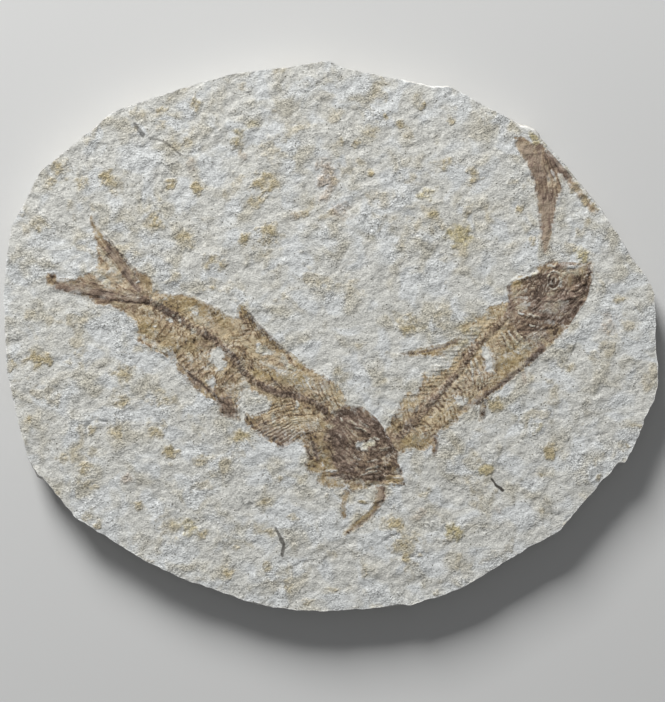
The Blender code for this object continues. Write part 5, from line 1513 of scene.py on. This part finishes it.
@shared_group(
    "Wisp",
    {
        "Start": ("vector", (0.0, 0.0, 0.0)), "End": ("vector", (1.0, 0.0, 0.0)),
        "Width": ("value", 1.0),
    },
    {"Mask": "value"},
)
def wisp_group(tree, given):
    """A soft-edged and slightly wavy line between two places on the face."""
    where = millimetres(tree)
    wobble = place_node(tree, "ShaderNodeTexNoise", {"Vector": where, "Scale": 0.9}).outputs["Color"]
    shifted = vector_node(tree, "MULTIPLY_ADD", wobble, (0.7, 0.7, 0.0), where)[0]
    flat = vector_node(tree, "MULTIPLY_ADD", shifted, (1.0, 1.0, 0.0), (-0.35, -0.35, 0.0))[0]
    run = vector_node(tree, "SUBTRACT", given["End"], given["Start"])[0]
    away = vector_node(tree, "SUBTRACT", flat, given["Start"])[0]
    covered = vector_node(tree, "DOT_PRODUCT", away, run)[1]
    whole = vector_node(tree, "DOT_PRODUCT", run, run)[1]
    share = place_node(tree, "ShaderNodeClamp", {"Value": math_node(tree, "DIVIDE", covered, whole)})
    off = vector_node(tree, "DISTANCE", away, scaled(tree, run, share.outputs[0]))[1]
    inner, outer = times(tree, given["Width"], 0.25), times(tree, given["Width"], 0.65)
    return {"Mask": ranged(tree, off, inner, outer, 1.0, 0.0)}


@shared_group(
    "Limestone",
    {
        "Stains": ("colour", (0.0, 0.0, 0.0, 1.0)), "Fresh": ("value", 0.0),
        **dict.fromkeys(STONE_COLOURS, ("colour", MID_GREY)),
    },
    {"Color": "colour", "Roughness": "value", "Height": "value"},
)
def limestone_group(tree, given):
    """Colour, roughness and fine relief of the limestone, with its stains."""
    where = millimetres(tree)
    drawn = drawn_out(tree, where, (0.0, 0.0, RELIEF_TURN), RELIEF_STRETCH)
    grain = noise_node(tree, drawn, 1.1, 4.0, 0.76, 0.1)
    sand = noise_node(tree, where, 2.1, 2.0, 0.65)
    fine = noise_node(tree, drawn, 0.45, 3.0, 0.60, 0.2)

    # pale stone, with beige patches and smooth bluish ones
    beige = ranged(tree, noise_node(tree, where, 0.13, 2.0, 0.50, 0.3), 0.46, 0.66)
    bluish = ranged(tree, noise_node(tree, drawn, 0.15, 2.0, 0.45, 0.4), 0.46, 0.63)
    colour = mix_colour(tree, times(tree, beige, 0.80), given["Pale"], given["Warm"])
    colour = mix_colour(tree, times(tree, bluish, 0.90), colour, given["Blue"])

    # stains of uneven strength, and faint ochre clouds
    uneven = ranged(tree, noise_node(tree, where, 0.38, 3.0, 0.55, 0.3), 0.30, 0.70, -0.32, 0.32)
    shares = []
    for amount, label in zip(channels(tree, given["Stains"]), ("Ochre", "Yellow", "Pink")):
        strong = ranged(tree, times_plus(tree, amount, 1.55, uneven), 0.05, 1.25)
        shares.append(times(tree, strong, ranged(tree, amount, 0.0, 0.2)))
        colour = mix_colour(tree, shares[-1], colour, given[label])
    cloud = ranged(tree, noise_node(tree, where, 0.11, 2.0, 0.55, 0.3), 0.5, 0.70)
    faint = times(tree, ranged(tree, plus(tree, cloud, uneven), 0.35, 1.2), 0.48)
    colour = mix_colour(tree, faint, colour, given["Ochre"])

    # grain, which is stronger where the stone is coarse or stained
    coarse = largest(tree, [*shares, faint, times(tree, beige, 0.6)])
    rough = ranged(tree, noise_node(tree, where, 0.16, 2.0), 0.50, 0.68)
    strength = ranged(tree, times_plus(tree, rough, 0.5, coarse), 0.0, 0.9, 0.74, 1.55)
    grains = plus(
        tree, ranged(tree, grain, 0.28, 0.72, -0.17, 0.15), ranged(tree, sand, 0.30, 0.70, -0.25, 0.21)
    )
    tone = times_plus(tree, grains, strength, ranged(tree, fine, 0.3, 0.7, 0.92, 1.07))
    colour = mix_colour(tree, 1.0, colour, tone, "MULTIPLY")

    # dark specks, and the whitish upper rim: freshly broken stone with a painted highlight of the lit
    # bevel
    crowded = ranged(tree, noise_node(tree, where, 0.12), 0.42, 0.62, 0.10, 0.75)
    large = place_group(tree, speck_group(), {"Spacing": 1.25, "Size": 0.20, "Share": crowded})
    small = place_group(tree, speck_group(), {"Spacing": 0.7, "Size": 0.10, "Share": 0.5})
    dark = plus(tree, times(tree, large["Mask"], 0.80), times(tree, small["Mask"], 0.38))
    colour = mix_colour(tree, dark, colour, SPECK_COLOUR)
    colour = mix_colour(tree, times(tree, given["Fresh"], 0.90), colour, FRESH_AND_HIGHLIGHT_COLOUR)

    bumps = times_plus(tree, grain, 0.36, times(tree, sand, 0.26))
    height = times_plus(tree, bumps, strength, times(tree, fine, 0.50))
    return {
        "Color": colour,
        "Roughness": ranged(tree, bluish, 0.0, 1.0, 0.92, 0.82),
        "Height": times_plus(tree, dark, -0.05, height),
    }


@shared_group(
    "Fossil film",
    {
        "Amounts": ("colour", (1.0, 0.0, 0.0, 1.0)), "Purple amount": ("value", 0.0),
        **dict.fromkeys(("Stone", *FILM_COLOURS), ("colour", MID_GREY)),
        "Stone height": ("value", 0.0), "Fibre direction": ("vector", (0.0, 0.0, 0.0)),
    },
    {"Color": "colour", "Roughness": "value", "Height": "value"},
)
def film_group(tree, given):
    """Brown film and bone over the stone, from the amounts stored in the mesh."""
    cover, dark, ochre = channels(tree, given["Amounts"])
    purple = given["Purple amount"]
    along = drawn_out(tree, millimetres(tree), given["Fibre direction"], FIBRE_STRETCH)
    grain = noise_node(tree, along, 2.1, 3.0, 0.7, 0.6)
    fibre = noise_node(tree, along, 0.8, 3.0, 0.62, 1.0)
    uneven = plus(
        tree, ranged(tree, grain, 0.3, 0.7, -0.28, 0.28), ranged(tree, fibre, 0.3, 0.7, -0.24, 0.22)
    )
    uneven = times(tree, uneven, ranged(tree, purple, 0.25, 0.90, 1.0, 0.50))
    depth = plus(tree, dark, uneven)
    base = mix_colour(tree, ranged(tree, depth, 0.0, 0.5), given["Tan"], given["Brown"])
    base = mix_colour(tree, times(tree, ochre, 0.8), base, given["Ochre"])
    base = mix_colour(tree, times(tree, purple, 0.65), base, given["Purple"])
    base = mix_colour(tree, ranged(tree, depth, 0.40, 1.15), base, given["Dark"])
    shown = ranged(tree, plus(tree, cover, times(tree, uneven, 0.6)), 0.04, 0.95)
    shown = times(tree, shown, ranged(tree, cover, 0.0, 0.08))
    own = times_plus(tree, fibre, 0.22, times(tree, grain, 0.12))
    keep = ranged(tree, shown, 0.0, 1.0, 1.0, 0.55)
    return {
        "Color": mix_colour(tree, shown, given["Stone"], base),
        "Roughness": ranged(tree, shown, 0.0, 1.0, 0.9, 0.62),
        "Height": times_plus(tree, given["Stone height"], keep, times(tree, own, shown)),
    }


# Materials

def new_material(name):
    """A material with its own shader, and its nodes."""
    material = bpy.data.materials.new(name)
    material.use_nodes = True
    return material, material.node_tree


def stored(tree, name):
    """The outputs of a node that reads values stored in the mesh."""
    return place_node(tree, "ShaderNodeAttribute", attribute_name=name).outputs


def limestone(tree, marks, fresh_and_highlight):
    """The outputs of the Limestone group in this slab's colours."""
    inputs = {"Stains": marks["Color"], "Fresh": fresh_and_highlight}
    inputs |= colour_inputs(bpy.context.scene.fossil_slab, STONE_COLOURS)
    return place_group(tree, limestone_group(), inputs)


def finish_surface(tree, colour, roughness, height):
    """Link colour, roughness and relief to the material's own shader."""
    shader = tree.nodes["Principled BSDF"]
    feed(tree, shader, "Base Color", colour)
    feed(tree, shader, "Roughness", roughness)
    shader.inputs["Metallic"].default_value = 0.0
    shader.inputs["Specular IOR Level"].default_value = 0.25
    bump = place_node(tree, "ShaderNodeBump", {"Strength": 0.8, "Distance": MM, "Height": height})
    feed(tree, shader, "Normal", bump.outputs[0])


def limestone_material():
    """Rough split limestone, with plant wisps on its face and fine bedding down its sides."""
    material, tree = new_material("split limestone")
    marks = stored(tree, "stains")
    # the stored alpha is the whitish upper rim: freshly broken stone with a painted highlight of the
    # lit bevel
    stone = limestone(tree, marks, marks["Alpha"])
    normal = place_node(tree, "ShaderNodeNewGeometry").outputs["Normal"]
    facing = place_node(tree, "ShaderNodeSeparateXYZ", {0: normal}).outputs[2]

    wisps = []
    for start, end, width, darkness in WISPS:
        inputs = {"Start": (*start, 0.0), "End": (*end, 0.0), "Width": width}
        wisps.append(times(tree, place_group(tree, wisp_group(), inputs)["Mask"], darkness))
    mask = times(tree, largest(tree, wisps), ranged(tree, facing, 0.3, 0.6))
    colour = mix_colour(tree, mask, stone["Color"], WISP_COLOUR)

    squeezed = {"Vector": millimetres(tree), "Scale": (0.05, 0.05, 2.6)}
    flat = place_node(tree, "ShaderNodeMapping", squeezed).outputs[0]
    layers = noise_node(tree, flat, 1.0, 4.0, 0.6, 0.2)
    upright = ranged(tree, math_node(tree, "ABSOLUTE", facing), 0.35, 0.8, 1.0, 0.0)
    band = times(tree, ranged(tree, layers, 0.42, 0.62), times(tree, upright, 0.55))
    colour = mix_colour(tree, band, colour, BEDDING_COLOUR)
    height = times_plus(tree, times(tree, layers, upright), 0.5, stone["Height"])
    finish_surface(tree, colour, stone["Roughness"], height)
    return material


def fossil_material(name, fibres):
    """Fossil film on limestone, with its fibres in a direction given in degrees."""
    material, tree = new_material(name)
    stone = limestone(tree, stored(tree, "stains"), 0.0)
    amounts = stored(tree, "film")
    inputs = {
        "Amounts": amounts["Color"], "Purple amount": amounts["Alpha"],
        "Stone": stone["Color"], "Stone height": stone["Height"],
        "Fibre direction": (0.0, 0.0, math.radians(fibres)),
    }
    inputs |= colour_inputs(bpy.context.scene.fossil_fossils, FILM_COLOURS)
    film = place_group(tree, film_group(), inputs)
    finish_surface(tree, film["Color"], film["Roughness"], film["Height"])
    return material


def add_fossil(name, node, fossil, hidden=None):
    """Build one fossil as a thin plate set in the stone, in place of its plain solid."""
    settings = bpy.context.scene.fossil_fossils
    lift = settings.lift / MM

    def top(x, y, reach):
        stone = FACE + face_height(x, y)
        sunk = EDGE_SINK * (1.0 - smooth_step(-SKIRT, -0.10, reach))
        rise = Film(x, y, reach, fossil).rise * smooth_step(0.0, 0.5, reach)
        return stone + lift * smooth_step(-0.1, 0.4, reach) - sunk + rise

    mesh = film_mesh(name, fossil, settings.cell / MM, top, hidden)
    x, y, _ = places(mesh).T
    reach = film_reach(x, y, fossil)
    colour_attribute(mesh, "film", Film(x, y, reach, fossil).amounts)
    ochre, yellow, pink = stains(x, y)
    yellow = np.maximum(yellow, 0.30 * smooth_step(0.4, 2.2, reach + 0.8 * noise(x, y, 3.0, 52)))
    colour_attribute(mesh, "stains", (ochre, yellow, pink, np.zeros_like(x)))
    shade(mesh, 60.0)
    mesh.materials.append(fossil_material(fossil["material"], fossil["fibres"]))
    piece = new_object(name, mesh)
    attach(piece, "root")
    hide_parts(node)
    return piece


class FOSSIL_OT_slab(bpy.types.Operator):
    """Add the split limestone slab"""

    bl_idname = "fossil.slab"
    bl_label = "Limestone Slab"

    def execute(self, context):
        settings = context.scene.fossil_slab
        face = face_block(settings.cell / MM)
        mesh = common_part(face, rim_solid(settings.rim_cell / MM), back_block())
        if len(mesh.polygons) < 1000:
            raise RuntimeError("the slab's face and rim did not meet")
        mesh.name = "slab_stone"
        stain_slab(mesh)
        shade(mesh, 48.0)
        mesh.materials.clear()
        mesh.materials.append(limestone_material())
        slab = new_object("slab_stone", mesh)
        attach(slab, "root")
        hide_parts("slab")
        return {"FINISHED"}


class FOSSIL_OT_left_fish(bpy.types.Operator):
    """Add the large fish on the left, whose head lies over the small one's tail"""

    bl_idname = "fossil.left_fish"
    bl_label = "Large Fish"

    def execute(self, context):
        add_fossil("large_fish", "left_fish", FOSSILS["left"])
        return {"FINISHED"}


class FOSSIL_OT_right_fish(bpy.types.Operator):
    """Add the small fish on the right, with its tail running under the large one's head"""

    bl_idname = "fossil.right_fish"
    bl_label = "Small Fish"

    def execute(self, context):
        hidden = (TAIL_UNDER_HEAD, TAIL_SHEET_TOP, LEFT_FISH)
        add_fossil("small_fish", "right_fish", FOSSILS["right"], hidden)
        return {"FINISHED"}


class FOSSIL_OT_third_tail(bpy.types.Operator):
    """Add the tail of the third fish, cut off by the slab's edge"""

    bl_idname = "fossil.third_tail"
    bl_label = "Tail of the Third Fish"

    def execute(self, context):
        add_fossil("third_tail", "third_fish_tail", FOSSILS["third"])
        return {"FINISHED"}


class FOSSIL_OT_stage(bpy.types.Operator):
    """Add the floor, the soft lights and the camera"""

    bl_idname = "fossil.stage"
    bl_label = "Studio"

    def execute(self, context):
        settings = context.scene.fossil_stage
        signs = ((-1, -1), (1, -1), (1, 1), (-1, 1))
        corners = [(x * FLOOR_REACH, y * FLOOR_REACH, 0.0) for x, y in signs]
        mesh = bpy.data.meshes.new("floor")
        mesh.from_pydata(corners, [], [(0, 1, 2, 3)])
        floor = new_object("floor", mesh)
        material, tree = new_material("pale floor")
        shader = tree.nodes["Principled BSDF"]
        shader.inputs["Base Color"].default_value = rgba(settings.floor)
        shader.inputs["Roughness"].default_value = 0.9
        mesh.materials.append(material)

        world = bpy.data.worlds.new("even light")
        context.scene.world = world
        world.use_nodes = True
        sky = world.node_tree.nodes["Background"]
        sky.inputs["Color"].default_value = SKY_COLOUR
        sky.inputs["Strength"].default_value = settings.sky
        for name, place, size in LAMPS:
            data = bpy.data.lights.new(name, "AREA")
            data.energy = getattr(settings, name)
            data.size = size
            lamp = new_object(name, data)
            lamp.location = place
            lamp.rotation_euler = (-Vector(place)).to_track_quat("-Z", "Y").to_euler()

        data = bpy.data.cameras.new("camera")
        data.lens = settings.lens
        data.sensor_width = 36.0
        data.clip_start = 0.01
        camera = new_object("camera", data)
        camera.location = (*CAMERA_MIDDLE, FACE * MM + settings.distance)
        context.scene.camera = camera
        context.scene.view_settings.view_transform = "Standard"
        return {"FINISHED"}


STEPS = (
    FOSSIL_OT_slab,
    FOSSIL_OT_left_fish,
    FOSSIL_OT_right_fish,
    FOSSIL_OT_third_tail,
    FOSSIL_OT_stage,
)


class FOSSIL_PT_panel(bpy.types.Panel):
    """The fossil slab's pieces and settings"""

    bl_idname = "FOSSIL_PT_panel"
    bl_label = "Fossil Slab"
    bl_space_type = "VIEW_3D"
    bl_region_type = "UI"
    bl_category = "Fossil Slab"

    def draw(self, context):
        column = self.layout.column()
        for step in STEPS:
            column.operator(step.bl_idname)
        for place in GROUPS:
            group = getattr(context.scene, place)
            box = self.layout.box()
            for name in group.__annotations__:
                box.prop(group, name)


GROUPS = {
    "fossil_slab": FOSSIL_PG_slab,
    "fossil_fossils": FOSSIL_PG_fossils,
    "fossil_stage": FOSSIL_PG_stage,
}
CLASSES = (*GROUPS.values(), *STEPS, FOSSIL_PT_panel)


def register():
    """Make the settings, the operators and the panel known."""
    for item in CLASSES:
        bpy.utils.register_class(item)
    for name, group in GROUPS.items():
        setattr(bpy.types.Scene, name, bpy.props.PointerProperty(type=group))


def unregister():
    """Take them away again."""
    for name in GROUPS:
        delattr(bpy.types.Scene, name)
    for item in reversed(CLASSES):
        bpy.utils.unregister_class(item)


def main():
    """Build every piece and the stage."""
    register()
    for step in STEPS:
        group, name = step.bl_idname.split(".")
        getattr(getattr(bpy.ops, group), name)()


if __name__ == "__main__":
    main()
